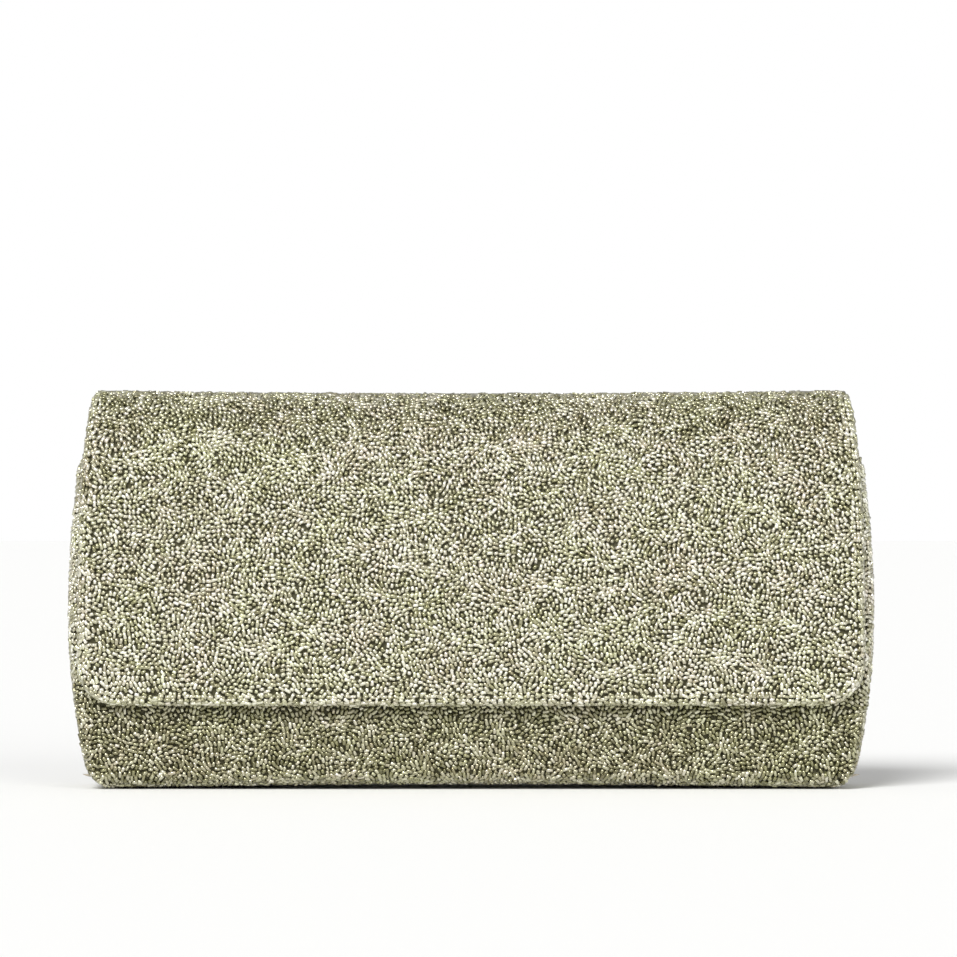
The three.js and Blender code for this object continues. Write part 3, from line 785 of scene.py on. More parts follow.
def mixed(tree, blend_type, factor, a, b):
    """A colour mix of two sockets or colours, by a number or a socket."""
    node = add(tree, "ShaderNodeMix", data_type="RGBA", blend_type=blend_type)
    for socket, value in ((node.inputs[0], factor), (node.inputs[6], a), (node.inputs[7], b)):
        if isinstance(value, bpy.types.NodeSocket):
            tree.links.new(value, socket)
        elif isinstance(value, tuple):
            socket.default_value = (*value, 1.0)
        else:
            socket.default_value = value
    return node.outputs[2]


def noise_at(tree, scale, detail=2.0, coordinate="Object"):
    """A noise on object coordinates; the scale is in waves per metre."""
    place = add(tree, "ShaderNodeTexCoord")
    noise = add(tree, "ShaderNodeTexNoise")
    noise.inputs["Scale"].default_value = scale
    noise.inputs["Detail"].default_value = detail
    tree.links.new(place.outputs[coordinate], noise.inputs["Vector"])
    return noise.outputs["Fac"]


# %% Glass beads
BEAD_METALLIC = 0.62
HUE_SPREAD = 0.12
HUE_STOPS = [
    (0.18, (0.98, 1.0, 0.82)),
    (0.42, (1.0, 1.0, 0.92)),
    (0.60, (1.0, 0.98, 0.96)),
    (0.85, (1.0, 0.93, 0.88)),
]


def bead_material(name, stops, roughness):
    """Tint picks the colour from the ramp; hue and two slow noises turn it olive or taupe."""
    material, tree, shader = new_material(
        name, stops[2][1], roughness, BEAD_METALLIC, Coat_Weight=1.0, Coat_Roughness=0.06, Coat_IOR=1.6
    )
    tint = add(tree, "ShaderNodeAttribute", attribute_name="tint")
    ramp = add(tree, "ShaderNodeValToRGB")
    set_ramp(ramp, stops)
    tree.links.new(tint.outputs["Fac"], ramp.inputs["Fac"])
    hue = add(tree, "ShaderNodeAttribute", attribute_name="hue")
    patch = noise_at(tree, 55.0)
    lean = add(tree, "ShaderNodeMath", operation="MULTIPLY_ADD")
    lean.inputs[1].default_value = HUE_SPREAD
    tree.links.new(hue.outputs["Fac"], lean.inputs[0])
    tree.links.new(patch, lean.inputs[2])
    family = add(tree, "ShaderNodeValToRGB")
    set_ramp(family, HUE_STOPS)
    tree.links.new(lean.outputs[0], family.inputs["Fac"])
    colour = mixed(tree, "MULTIPLY", 1.0, ramp.outputs["Color"], family.outputs["Color"])
    tree.links.new(colour, shader.inputs["Base Color"])
    return material


BEAD_STOPS = [
    (0.00, (0.110, 0.103, 0.036)),
    (0.22, (0.255, 0.243, 0.130)),
    (0.50, (0.470, 0.455, 0.335)),
    (0.78, (0.720, 0.710, 0.610)),
    (1.00, (0.920, 0.920, 0.870)),
]
# The rim and lip beads get a copy of the bead material with every colour 0.02 lighter: painted light on the
# rolled edges.
RIM_PAINTED_LIGHT = 0.02
RIM_PAINTED_LIGHT_STOPS = [(place, tuple(min(1.0, RIM_PAINTED_LIGHT + c) for c in colour)) for place, colour in BEAD_STOPS]
BEAD_ROUGHNESS = 0.26
glass_beads = bead_material("champagne_glass_beads", BEAD_STOPS, BEAD_ROUGHNESS)
rim_glass_painted_light = bead_material("rim_glass_beads_painted_light", RIM_PAINTED_LIGHT_STOPS, BEAD_ROUGHNESS)
print(len(BEAD_STOPS), "bead colours from dark olive to pale champagne")

# %% Cloth, card, satin, ribbon and metal
def cloth_material(name, dark, light, roughness, weave, depth, **sockets):
    """Cloth with an over-and-under weave: two crossed bands on the cloth's own map, in threads per
    metre, that give both the bump and a faint change of colour, and slow patches over it."""
    material, tree, shader = new_material(name, light, roughness, 0.0, **sockets)
    cloth_map = add(tree, "ShaderNodeUVMap", uv_map="cloth")
    bands = []
    for axis in ("X", "Y"):
        band = add(tree, "ShaderNodeTexWave", wave_type="BANDS", bands_direction=axis)
        band.inputs["Scale"].default_value = weave
        band.inputs["Distortion"].default_value = 0.6
        band.inputs["Detail"].default_value = 1.0
        tree.links.new(cloth_map.outputs["UV"], band.inputs["Vector"])
        bands.append(band.outputs["Fac"])
    threads = add(tree, "ShaderNodeMath", operation="MULTIPLY")
    tree.links.new(bands[0], threads.inputs[0])
    tree.links.new(bands[1], threads.inputs[1])
    patch = noise_at(tree, 60.0, 3.0)
    shade = mixed(tree, "MIX", threads.outputs[0], dark, light)
    shade = mixed(tree, "MIX", patch, shade, tuple(0.86 * c for c in light))
    tree.links.new(shade, shader.inputs["Base Color"])
    bump = add(tree, "ShaderNodeBump")
    bump.inputs["Strength"].default_value = 0.35
    bump.inputs["Distance"].default_value = depth
    tree.links.new(threads.outputs[0], bump.inputs["Height"])
    tree.links.new(bump.outputs["Normal"], shader.inputs["Normal"])
    return material


# The backing cloth is made a very dark olive so that it shows as painted shade in the gaps between the beads.
gap_shade_backing_cloth = cloth_material(
    "olive_backing_cloth_painted_gap_shade", (0.034, 0.031, 0.010), (0.095, 0.088, 0.036), 0.7, 900.0, 0.00008
)
satin = cloth_material(
    "champagne_satin_lining", (0.42, 0.36, 0.27), (0.56, 0.50, 0.39), 0.36, 1500.0, 0.00004,
    Sheen_Weight=0.35, Sheen_Roughness=0.4, Anisotropic=0.35,
)
ribbon_cloth = cloth_material("ribbed_ribbon", (0.28, 0.24, 0.17), (0.46, 0.41, 0.31), 0.5, 700.0, 0.00012)


def grain_material(name, base, roughness, metallic, scale, change, depth, **sockets):
    """A plain solid finish: a noise on object coordinates varies its shade and gives its bump."""
    material, tree, shader = new_material(name, base, roughness, metallic, **sockets)
    grain = noise_at(tree, scale, 6.0)
    darker = tuple(c * (1.0 - change) for c in base)
    lighter = tuple(min(1.0, c * (1.0 + change)) for c in base)
    colour = mixed(tree, "MIX", grain, darker, lighter)
    tree.links.new(colour, shader.inputs["Base Color"])
    bump = add(tree, "ShaderNodeBump")
    bump.inputs["Strength"].default_value = 0.4
    bump.inputs["Distance"].default_value = depth
    tree.links.new(grain, bump.inputs["Height"])
    tree.links.new(bump.outputs["Normal"], shader.inputs["Normal"])
    return material


grey_card = grain_material("grey_card", (0.30, 0.28, 0.25), 0.9, 0.0, 900.0, 0.25, 0.0001)
nickel = grain_material("polished_nickel", (0.72, 0.70, 0.66), 0.16, 1.0, 500.0, 0.06, 0.000006)
ferrite = grain_material("ferrite", (0.045, 0.042, 0.040), 0.6, 0.2, 1500.0, 0.3, 0.00003)
print(len(bpy.data.materials), "materials")

# %% [markdown]
# ## The beaded covers
#
# The long strip is cut only where the bag moves: at the hinge, and at the front panel's foot.
# The rest is split into pieces of a few thousand beads that ride on one body each.

# %% Beads of the strip, by piece
FOLD_HALF = 2.6
# Tint shifts that paint light and shade onto the strip's beads: painted shade below the flap and over its
# top, painted light in the side columns beside the flap.
BELOW_SHADE = 0.24
TOP_SHADE = 0.12
SIDE_LIGHT = 0.34
STANDING_SINK = 0.32
CREST_LENGTH = 42.0
SHADE_FADE = 12.0
SIDE_COLUMN = 7.0
beads_sink = STANDING_SINK * smooth((3.0 - at(strip_beads[:, 1], table_z)) / 3.0)
all_strip = place_beads(
    strip_surface, strip_beads[:, 0], strip_beads[:, 1], swirls(strip_beads), 5, sink=beads_sink
)
on_lower_front = smooth((all_strip["t"] - base_start) / SHADE_FADE)
on_top = smooth((all_strip["t"] + CREST_LENGTH) / SHADE_FADE) * (all_strip["t"] < 0.0)
from_side = at(all_strip["t"], table_half) - abs(strip_beads[:, 0])
above_edge = at(all_strip["t"], table_z) - FLAP_EDGE_Z
beside_flap = smooth((above_edge - 2.0) / 8.0) * (all_strip["t"] > front_start)
on_side = smooth((SIDE_COLUMN - from_side) / 4.0) * beside_flap
# Painted shade and painted light: the masks darken the beads below the flap and over the flap's top, and
# lighten the beads beside the flap.
shade = SIDE_LIGHT * on_side - BELOW_SHADE * on_lower_front - TOP_SHADE * on_top
all_strip["tint"] = np.clip(all_strip["tint"] + shade, 0.0, 1.0)
all_rim = place_beads(
    strip_surface, rim_beads[:, 0], rim_beads[:, 1], rim_angle, 6, plump=0.98, tint_shift=-0.02, loose=0.45
)
all_lip = place_beads(strip_surface, lip_beads[:, 0], lip_beads[:, 1], lip_angle, 7, tint_shift=0.05)


def point_of_strip(t):
    """The middle point of the strip's surface at t, in metres."""
    return tuple(float(c) * MM for c in strip_surface(np.array([0.0]), np.array([t]))[0])


def cut_by_length(label, beads, first, last, parts, body):
    """Splits the beads between two lengths into parts of equal length that ride on one body."""
    ends = np.linspace(first, last, parts + 1)
    for k in range(parts):
        keep = (beads["t"] >= ends[k]) & (beads["t"] < ends[k + 1])
        piece = bead_piece(f"{label}_beads_{k + 1}", only(beads, keep), glass_beads)
        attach(piece, body)


cut_by_length("flap", all_strip, -flap_length - 9.0, -FOLD_HALF, 3, "flap")
cut_by_length("back", all_strip, FOLD_HALF, base_start + 2.0, 3, "root")
cut_by_length("base", all_strip, base_start + 2.0, front_start, 1, "root")
cut_by_length("front", all_strip, front_start, lip_start, 2, "front_panel")

flap_rim = bead_piece("flap_rim_beads", only(all_rim, all_rim["t"] < -FOLD_HALF), rim_glass_painted_light)
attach(flap_rim, "flap")
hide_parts("flap_edge_trim")
mouth_lip = bead_piece("mouth_lip_beads", all_lip, rim_glass_painted_light)
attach(mouth_lip, "front_panel")
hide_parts("mouth_binding")

at_fold = joined(only(all_strip, abs(all_strip["t"]) < FOLD_HALF), only(all_rim, all_rim["t"] >= -FOLD_HALF))
fold_beads = bead_piece("fold_beads", at_fold, glass_beads)
point_of_strip(FOLD_HALF)
point_of_strip(-FOLD_HALF)
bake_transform(fold_beads)

# %% Beads of the gussets
for name, (side, points, angle) in gusset_beads.items():
    surface = gusset_surface(side)
    beads_sink = STANDING_SINK * smooth((4.0 - points[:, 1]) / 4.0)
    beads = place_beads(surface, points[:, 0], points[:, 1], angle, 8, side=side, sink=beads_sink)
    piece = bead_piece(f"{name}_gusset_beads", beads, glass_beads)
    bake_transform(piece)

# %% [markdown]
# ## Cloth, card and linings
#
# Under the beads lies the cloth that they are sewn to, then the stiffening card, then the satin
# lining. Each is a thin closed shell: a grid of points on the strip or the gusset, once at its
# outer depth and once at its inner depth, with a wall around the edge.

# %% A thin closed shell
def shell(name, surface, u, t, outer, inner, material, side=1.0, puff=0.0):
    """Two copies of a grid of points, moved inwards along the normal to two depths, joined by a
    wall round the edge. puff moves both inwards by a share that varies over the grid."""
    rows, columns = u.shape
    point, _, _, normal = with_frame(surface, u, t, side)
    puff = np.broadcast_to(puff, u.shape)[..., None]
    layers = [(point - normal * (depth + puff)).reshape(-1, 3) for depth in (outer, inner)]
    index = np.arange(rows * columns).reshape(rows, columns)
    a, b, c, d = index[:-1, :-1], index[:-1, 1:], index[1:, 1:], index[1:, :-1]
    top = np.stack([a, b, c, d], axis=-1).reshape(-1, 4)
    under = top[:, ::-1] + rows * columns
    rim = np.concatenate([index[0, :-1], index[:-1, -1], index[-1, :0:-1], index[:0:-1, 0]])
    following = np.roll(rim, -1)
    wall = np.stack([following, rim, rim + rows * columns, following + rows * columns], axis=1)
    faces = np.vstack([top, under, wall])
    points = np.vstack(layers)
    middle = points.mean(axis=0)
    p = points[faces] - middle
    volume = np.einsum("ij,ij->i", p[:, 0], np.cross(p[:, 1], p[:, 2])).sum()
    volume += np.einsum("ij,ij->i", p[:, 0], np.cross(p[:, 2], p[:, 3])).sum()
    if volume < 0.0:
        faces = faces[:, ::-1]
    obj = mesh_object(name, points, faces, material)
    cloth_map = obj.data.uv_layers.new(name="cloth")
    flat = np.stack([u, t], axis=-1).reshape(-1, 2) / 100.0
    flat = np.vstack([flat, flat])
    cloth_map.data.foreach_set("uv", flat[faces.ravel()].astype(np.float32).ravel())
    width = np.linalg.norm(np.diff(point, axis=1), axis=-1).sum(axis=1).mean() * MM
    length = np.linalg.norm(np.diff(point, axis=0), axis=-1).sum(axis=0).mean() * MM
    obj["flat_size"] = (round(width, 3), round(length, 3))
    print(f"{name}: {len(faces)} faces, {1000 * width:.0f} x {1000 * length:.0f} mm")
    return obj


def declare(obj, body, slot, *nodes, held="stretched"):
    """Rides a sheet on a body, hides the nodes it stands for and drops its flat size. The slot is not used.
    """
    if body:
        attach(obj, body)
    if nodes:
        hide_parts(*nodes)
    del obj["flat_size"]


def strip_grid(first, last, edge, columns=120, spacing=2.0):
    """A grid over the strip between two lengths; edge(t) says how far it reaches to each side."""
    rows = max(3, int(abs(last - first) / spacing) + 1)
    t = np.linspace(first, last, rows)[:, None]
    u = np.linspace(-1.0, 1.0, columns)[None, :] * edge(t)
    return u, np.broadcast_to(t, u.shape)


def flap_grid(offset, upper, columns=120, rows=80):
    """A grid over the flap whose outline is moved outwards by an offset, with its round corners.
    Rows crowd towards the lower edge, where the corners turn."""
    radius = FLAP_CORNER + offset
    end = flap_length + offset
    straight = np.linspace(-upper, end - radius, rows)
    curve = end - radius + radius * np.sin(np.linspace(0.0, math.pi / 2, 16))[1:]
    length = np.concatenate([straight, curve])[:, None]
    half = at(-length, table_half) + offset - corner_inset(radius, end - length)
    u = np.linspace(-1.0, 1.0, columns)[None, :] * half
    return u, np.broadcast_to(-length, u.shape)


def around_side(t):
    """The cloth's reach on the body: to the end of its rolled side."""
    return at(t, table_half) + strip_reach(t)


def around_side_below_lip(t):
    """The front cloth's reach: to the end of its rolled side, less 3.4 where it turns over the lip."""
    return around_side(t) - 3.4 * smooth((t - lip_start + 3.0) / 3.0)


# %% Backing cloths
CLOTH_OUTER = 1.15
CLOTH_INNER = 1.5
CLOTH_REACH = 4.2
SEAM_HALF = 5.4
FOOT_HALF = 2.0
u, t = flap_grid(CLOTH_REACH, -SEAM_HALF, columns=160)
flap_cloth = shell("flap_backing_cloth", strip_surface, u, t, CLOTH_OUTER, CLOTH_INNER, gap_shade_backing_cloth)
declare(flap_cloth, "flap", "glass_beads", "flap_cover")
u, t = strip_grid(-SEAM_HALF, SEAM_HALF, around_side, spacing=0.4)
fold_cloth = shell("fold_backing_cloth", strip_surface, u, t, CLOTH_OUTER, CLOTH_INNER, gap_shade_backing_cloth)
point_of_strip(FOLD_HALF)
point_of_strip(-FOLD_HALF)
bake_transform(fold_cloth)
declare(fold_cloth, None, "glass_beads", "flap_fold")
u, t = strip_grid(SEAM_HALF, base_start, around_side, columns=160, spacing=1.5)
back_cloth = shell("back_backing_cloth", strip_surface, u, t, CLOTH_OUTER, CLOTH_INNER, gap_shade_backing_cloth)
declare(back_cloth, "root", "glass_beads", "back_cover")
u, t = strip_grid(base_start, front_start - SEAM_HALF, around_side, columns=160, spacing=0.7)
base_cloth = shell("base_backing_cloth", strip_surface, u, t, CLOTH_OUTER, CLOTH_INNER, gap_shade_backing_cloth)
declare(base_cloth, "root", "glass_beads", "base_cover")
u, t = strip_grid(front_start - SEAM_HALF, front_start + SEAM_HALF, around_side, columns=160, spacing=0.5)
foot_cloth = shell("front_foot_backing_cloth", strip_surface, u, t, CLOTH_OUTER, CLOTH_INNER, gap_shade_backing_cloth)
foot_back, foot_front = point_of_strip(front_start - FOOT_HALF), point_of_strip(front_start + FOOT_HALF)
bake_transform(foot_cloth)
declare(foot_cloth, None, "glass_beads")
u, t = strip_grid(front_start + SEAM_HALF, STRIP_END - 0.3, around_side_below_lip, columns=160, spacing=0.8)
front_cloth = shell("front_backing_cloth", strip_surface, u, t, CLOTH_OUTER, CLOTH_INNER, gap_shade_backing_cloth)
declare(front_cloth, "front_panel", "glass_beads", "front_cover")


def gusset_grid(lowest, seam, columns=24, rows=70):
    """A grid over a gusset from a length w up to its sloping top edge, between its two seams."""
    share = np.linspace(0.0, 1.0, columns)[None, :]
    rise = np.linspace(0.0, 1.0, rows)[:, None]
    y = TOP_SLOPE_FROM + TOP_SLOPE_WIDTH * share
    w = lowest + rise * (gusset_top(y) - lowest)
    front, back = end_edges(w)
    y = front + seam + share * (back - front - 2.0 * seam)
    return y, lowest + rise * (gusset_top(y) - lowest)


for side, name in ((-1.0, "left"), (1.0, "right")):
    surface = gusset_surface(side)
    y, w = gusset_grid(0.3, -0.3)
    cloth_name = f"{name}_gusset_backing_cloth"
    cloth = shell(cloth_name, surface, y, w, CLOTH_OUTER, CLOTH_INNER, gap_shade_backing_cloth, side)
    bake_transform(cloth)
    declare(cloth, None, "glass_beads", f"{name}_gusset_cover")

# %% [markdown]
# ## Slack satin
#
# A lining is cut a little larger than its card and held only by its edges, so it buckles into
# soft hollows. Waves alone look drawn, so the linings of the front, back and flap are cloth
# simulations: a sheet with pinned edges starts faintly creased and grows by a few parts in a
# hundred. Only how far each point has moved along the normal is kept, within a cap, and the
# finished shell is built from that, so that no simulation is left on any piece.

# %% Wrinkles for the satin
def creases(a, b, seed, long_wave, short_wave, waves=14):
    """Soft creases that run along b: a sum of waves, short across and long along, of unit height."""
    rng = np.random.default_rng(seed)
    ka = 2.0 * math.pi / rng.uniform(short_wave, 2.2 * short_wave, waves)
    kb = 2.0 * math.pi / rng.uniform(long_wave, 2.5 * long_wave, waves) * rng.choice([-1.0, 1.0], waves)
    phase = rng.uniform(0.0, 2.0 * math.pi, waves)
    total = sum(np.sin(a * p + b * q + r) for p, q, r in zip(ka, kb, phase))
    return 0.5 + 0.5 * np.clip(total / math.sqrt(waves), -1.5, 1.5) / 1.5


# %% Letting a panel of satin buckle
SIM_SCALE = 0.02
SIM_FRAMES = 18
FIRST_CREASE = 0.25


def slack_satin(surface, u, t, depth, growth, cap, seed, side=1.0):
    """How far a pinned sheet buckles inwards, in millimetres, on a grid of (u, t). The distance d is
    held between 0 and the cap as cap (1 + tanh(d / 0.6 cap)) / 2."""
    rows, columns = u.shape
    point, _, _, normal = with_frame(surface, u, t, side)
    rng = np.random.default_rng(seed)
    start = point - normal * depth
    shake = creases(u, t, seed, 50.0, 12.0) - 0.5 + rng.normal(0.0, 0.02, u.shape)
    edge = np.zeros(u.shape, bool)
    edge[[0, -1], :] = True
    edge[:, [0, -1]] = True
    shake = np.where(edge, 0.0, shake * FIRST_CREASE)
    begun = start - normal * shake[..., None]
    index = np.arange(rows * columns).reshape(rows, columns)
    quads = np.stack([index[:-1, :-1], index[:-1, 1:], index[1:, 1:], index[1:, :-1]], axis=-1).reshape(-1, 4)
    mesh = bpy.data.meshes.new("slack_sheet")
    mesh.from_pydata((begun * SIM_SCALE).reshape(-1, 3).tolist(), [], quads.tolist())
    sheet = bpy.data.objects.new("slack_sheet", mesh)
    bpy.context.scene.collection.objects.link(sheet)
    pins = sheet.vertex_groups.new(name="pins")
    pins.add(np.flatnonzero(edge.ravel()).tolist(), 1.0, "REPLACE")
    cloth = sheet.modifiers.new("cloth", "CLOTH")
    settings = cloth.settings
    settings.quality = 4
    settings.mass = 0.3
    settings.tension_stiffness = settings.compression_stiffness = 8.0
    settings.shear_stiffness = 4.0
    settings.bending_stiffness = 0.25
    settings.vertex_group_mass = "pins"
    settings.shrink_min = -growth
    settings.effector_weights.gravity = 0.0
    cloth.point_cache.frame_start = 1
    cloth.point_cache.frame_end = SIM_FRAMES
    for step_number in range(1, SIM_FRAMES + 1):
        bpy.context.scene.frame_set(step_number)
    shaped = sheet.evaluated_get(bpy.context.evaluated_depsgraph_get()).to_mesh()
    moved = np.empty(rows * columns * 3, np.float32)
    shaped.vertices.foreach_get("co", moved)
    moved = moved.reshape(rows, columns, 3) / SIM_SCALE
    bpy.data.objects.remove(sheet)
    bpy.context.scene.frame_set(1)
    inward = -((moved - start) * normal).sum(axis=-1)
    print(f"satin buckles from {inward.min():.2f} to {inward.max():.2f} mm")
    return cap * (0.5 + 0.5 * np.tanh(inward / (0.6 * cap)))


# %% Cards of the base and the back
def inside_half(t):
    """The linings' reach to each side: to the gusset's own lining."""
    return at(t, table_half) - 2.75


def card_half(t):
    """The cards' reach to each side: 3 inside the outline."""
    return at(t, table_half) - 3.0


def base_lining_half(t):
    """The base lining's reach: 2.4 past the outline, to lie under the gussets' linings."""
    return at(t, table_half) + 2.4


CARD = (1.8, 3.2)
SATIN = (3.45, 3.85)
GUSSET_SATIN = (2.05, 2.45)


def card(name, grid, body, node):
    """A stiffening card: a shell at the cards' depths, on one body, in place of one board."""
    piece = shell(name, flat_strip, *grid, *CARD, grey_card)
    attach(piece, body)
    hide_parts(node)
    del piece["flat_size"]


base_grid = strip_grid(base_start + 6.0, front_start - 6.0, card_half, spacing=1.0)
back_grid = strip_grid(5.6, base_start - 1.5, card_half, columns=60)
card("base_card", base_grid, "root", "base_board")
card("back_card", back_grid, "root", "back_board")

# %% Linings of the body
LINING_CORNER = 3.9
SATIN_MIDDLE = 3.6
SATIN_GROWTH = 0.03
TOWARDS_CARD = -0.25
BACK_LINING_START = 6.2
u, t = strip_grid(front_start - LINING_CORNER, lip_start + 0.8, inside_half, columns=150, spacing=1.2)
puff = TOWARDS_CARD + slack_satin(flat_strip, u, t, SATIN_MIDDLE, SATIN_GROWTH, 0.9, 31)
front_lining = shell("front_satin_lining", flat_strip, u, t, *SATIN, satin, puff=puff)
declare(front_lining, "front_panel", "satin_lining", "front_lining")

u, t = strip_grid(BACK_LINING_START, base_start + LINING_CORNER, inside_half, columns=150, spacing=1.2)
past_seam = smooth((t - BACK_LINING_START) / 7.0)
puff = (TOWARDS_CARD + slack_satin(flat_strip, u, t, SATIN_MIDDLE, SATIN_GROWTH, 0.6, 32)) * past_seam
back_lining = shell("back_satin_lining", flat_strip, u, t, *SATIN, satin, puff=puff)
declare(back_lining, "root", "satin_lining", "back_lining")

u, t = strip_grid(base_start + LINING_CORNER, front_start - 1.5, base_lining_half, columns=150, spacing=0.6)
under_front = smooth((t - front_start + 7.0) / 2.5)
puff = (-0.1 + 0.4 * creases(u, t, 33, 40.0, 14.0)) * (1.0 - under_front) - 0.5 * under_front
base_lining = shell("base_satin_lining", flat_strip, u, t, *SATIN, satin, puff=puff)
declare(base_lining, "root", "satin_lining", "base_lining")

for side, name, seed in ((-1.0, "left", 34), (1.0, "right", 35)):
    surface = gusset_surface(side)
    y, w = gusset_grid(1.0, -0.35)
    near_top = smooth((w - gusset_top(y) + 4.0) / 4.0)
    puff = 0.5 * creases(y, w, seed, 40.0, 9.0) * (1.0 - near_top) - 0.5 * near_top
    lining = shell(f"{name}_gusset_satin_lining", surface, y, w, *GUSSET_SATIN, satin, side, puff=puff)
    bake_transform(lining)
    declare(lining, None, "satin_lining", f"{name}_gusset_lining")

# %% Card and lining of the flap, and the lining across the hinge
FOLD_LINING = 5.2
LINING_INSET = 1.6
NARROWING = 1.15


def fold_reach(t):
    """The hinge lining's reach: the flap lining's, 1.6 inside, to the back lining's, 2.75 inside."""
    return at(t, table_half) - LINING_INSET - NARROWING * smooth((t + FOLD_LINING) / (2.0 * FOLD_LINING))


card("flap_card", flap_grid(-2.4, -4.9), "flap", "flap_board")
u, t = flap_grid(-LINING_INSET, -FOLD_LINING, columns=150)
side_room = at(t, table_half) - LINING_INSET - abs(u)
end_room = flap_length - LINING_INSET + t
from_edge = smooth(side_room / 5.0) * smooth(end_room / 5.0)
from_edge = from_edge * smooth((-FOLD_LINING - t) / 7.0)
puff = (TOWARDS_CARD + slack_satin(flat_strip, u, t, SATIN_MIDDLE, SATIN_GROWTH, 0.75, 36)) * from_edge
flap_lining = shell("flap_satin_lining", flat_strip, u, t, *SATIN, satin, puff=puff)
declare(flap_lining, "flap", "satin_lining", "flap_lining")
LINING_OVERLAP = 0.15
fold_end = BACK_LINING_START + LINING_OVERLAP
u, t = strip_grid(-FOLD_LINING - LINING_OVERLAP, fold_end, fold_reach, columns=150, spacing=0.4)
fold_lining = shell("hinge_satin_lining", flat_strip, u, t, *SATIN, satin)
point_of_strip(FOLD_HALF)
point_of_strip(-FOLD_HALF)
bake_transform(fold_lining)
declare(fold_lining, None, "satin_lining")

# %% [markdown]
# ## Pocket and stitches
#
# The lining has one slip pocket, sewn to the back on three sides, with a turned hem along its
# mouth. Thread is round and dips into the cloth at both ends of each stitch, so a stitch is the
# bead's barrel again, long and thin, laid half into the satin.

# %% Stitches along a line
STITCH_PITCH = 2.4
STITCH_HALF = 0.26
STITCH_RADIUS = 0.14


def stitches(name, line, depth, seed):
    """Barrels about two thirds of a pitch long and 0.28 mm thick, end to end on a line of (u, t)."""
    points, angle = beads_along(np.asarray(line, float), STITCH_PITCH, seed, 0.02)
    point, du, dt, normal = with_frame(flat_strip, points[:, 0], points[:, 1])
    run = np.cos(angle)[:, None] * du + np.sin(angle)[:, None] * dt
    across = np.cross(normal, run)
    long_way, thickness = run * STITCH_HALF * STITCH_PITCH, STITCH_RADIUS
    frame_of = np.stack([long_way, across * thickness, normal * thickness], axis=1)
    places = np.einsum("pk,nkc->npc", bead_points, frame_of) + (point - normal * depth)[:, None, :]
    faces = bead_faces[None] + len(bead_points) * np.arange(len(points))[:, None, None]
    obj = mesh_object(name, places, faces.reshape(-1, 3), thread)
    print(f"{name}: {len(points)} stitches")
    return obj


thread = grain_material("pale_thread", (0.62, 0.57, 0.46), 0.6, 0.0, 3000.0, 0.2, 0.00002)

# %% The slip pocket
POCKET_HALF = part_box("slip_pocket")[1][0] / MM
pocket_low, pocket_high = (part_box("slip_pocket")[k][2] / MM for k in (0, 1))
back_rows = on_back & (table_t > 1.0)
pocket_mouth_t, pocket_foot_t = (
    float(np.interp(-z, -table_z[back_rows], table_t[back_rows])) for z in (pocket_high, pocket_low)
)
POCKET_SATIN = (4.25, 4.6)
HEM_SATIN = (4.5, 4.75)
GAPE = 0.9
POCKET_CREASE = 0.35
HEM = 7.0
HEM_LIP = 0.3
HEM_RISE = 0.2
POCKET_SEAM = 1.6


def pocket_half(t):
    """The pocket's reach to each side: the same all the way down."""
    return POCKET_HALF + 0.0 * t


def pocket_slack(u, t):
    """How far the pocket stands off: 0.9 at the middle of its mouth, and up to 0.35 of creases."""
    in_from_side = POCKET_HALF - abs(u)
    gape = smooth(in_from_side / 30.0) * smooth((pocket_foot_t - t) / 45.0)
    return GAPE * gape + POCKET_CREASE * creases(u, t, 37, 50.0, 12.0) * smooth(in_from_side / 6.0)


u, t = strip_grid(pocket_mouth_t, pocket_foot_t, pocket_half, columns=90, spacing=1.0)
pocket = shell("slip_pocket_satin", flat_strip, u, t, *POCKET_SATIN, satin, puff=pocket_slack(u, t))
declare(pocket, "root", "satin_lining", "slip_pocket")
u, t = strip_grid(pocket_mouth_t - HEM_LIP, pocket_mouth_t + HEM, pocket_half, columns=90, spacing=0.7)
in_hem = smooth((t - pocket_mouth_t + HEM_LIP) / 0.8) * smooth((pocket_mouth_t + HEM - t) / 0.8)
puff = pocket_slack(u, t) + HEM_RISE * in_hem
hem = shell("slip_pocket_hem", flat_strip, u, t, *HEM_SATIN, satin, puff=puff)
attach(hem, "root")
del hem["flat_size"]
sewn_half, sewn_foot = POCKET_HALF - POCKET_SEAM, pocket_foot_t - POCKET_SEAM
down = [[-sewn_half, pocket_mouth_t], [-sewn_half, sewn_foot]]
up = [[sewn_half, sewn_foot], [sewn_half, pocket_mouth_t]]
pocket_seam = stitches("slip_pocket_stitches", down + up, 4.72, 50)
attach(pocket_seam, "root")

# %% Seams of the flap's lining and the mouth
flap_seam_line = outline(-3.4)
flap_seam = stitches("flap_lining_stitches", flap_seam_line[8:-8], 3.95, 51)
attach(flap_seam, "flap")
mouth_seam_t = lip_start - 1.0
mouth_reach = float(at(mouth_seam_t, table_half)) - 4.5
mouth_seam_line = [[-mouth_reach, mouth_seam_t], [mouth_reach, mouth_seam_t]]
mouth_seam = stitches("mouth_lining_stitches", mouth_seam_line, 4.0, 52)
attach(mouth_seam, "front_panel")

# %% [markdown]
# ## Metal: the magnetic snap and the strap rings
#
# Both halves of the snap are pressed from sheet on a lathe, so a profile of radius and height
# is turned about the snap's axis. A D-ring is round wire carried along a closed path, a bow
# under a straight bar. A ribbon tab holds each ring's bar against the gusset's lining.

# %% Turned and swept shapes
TURN_STEPS = 48


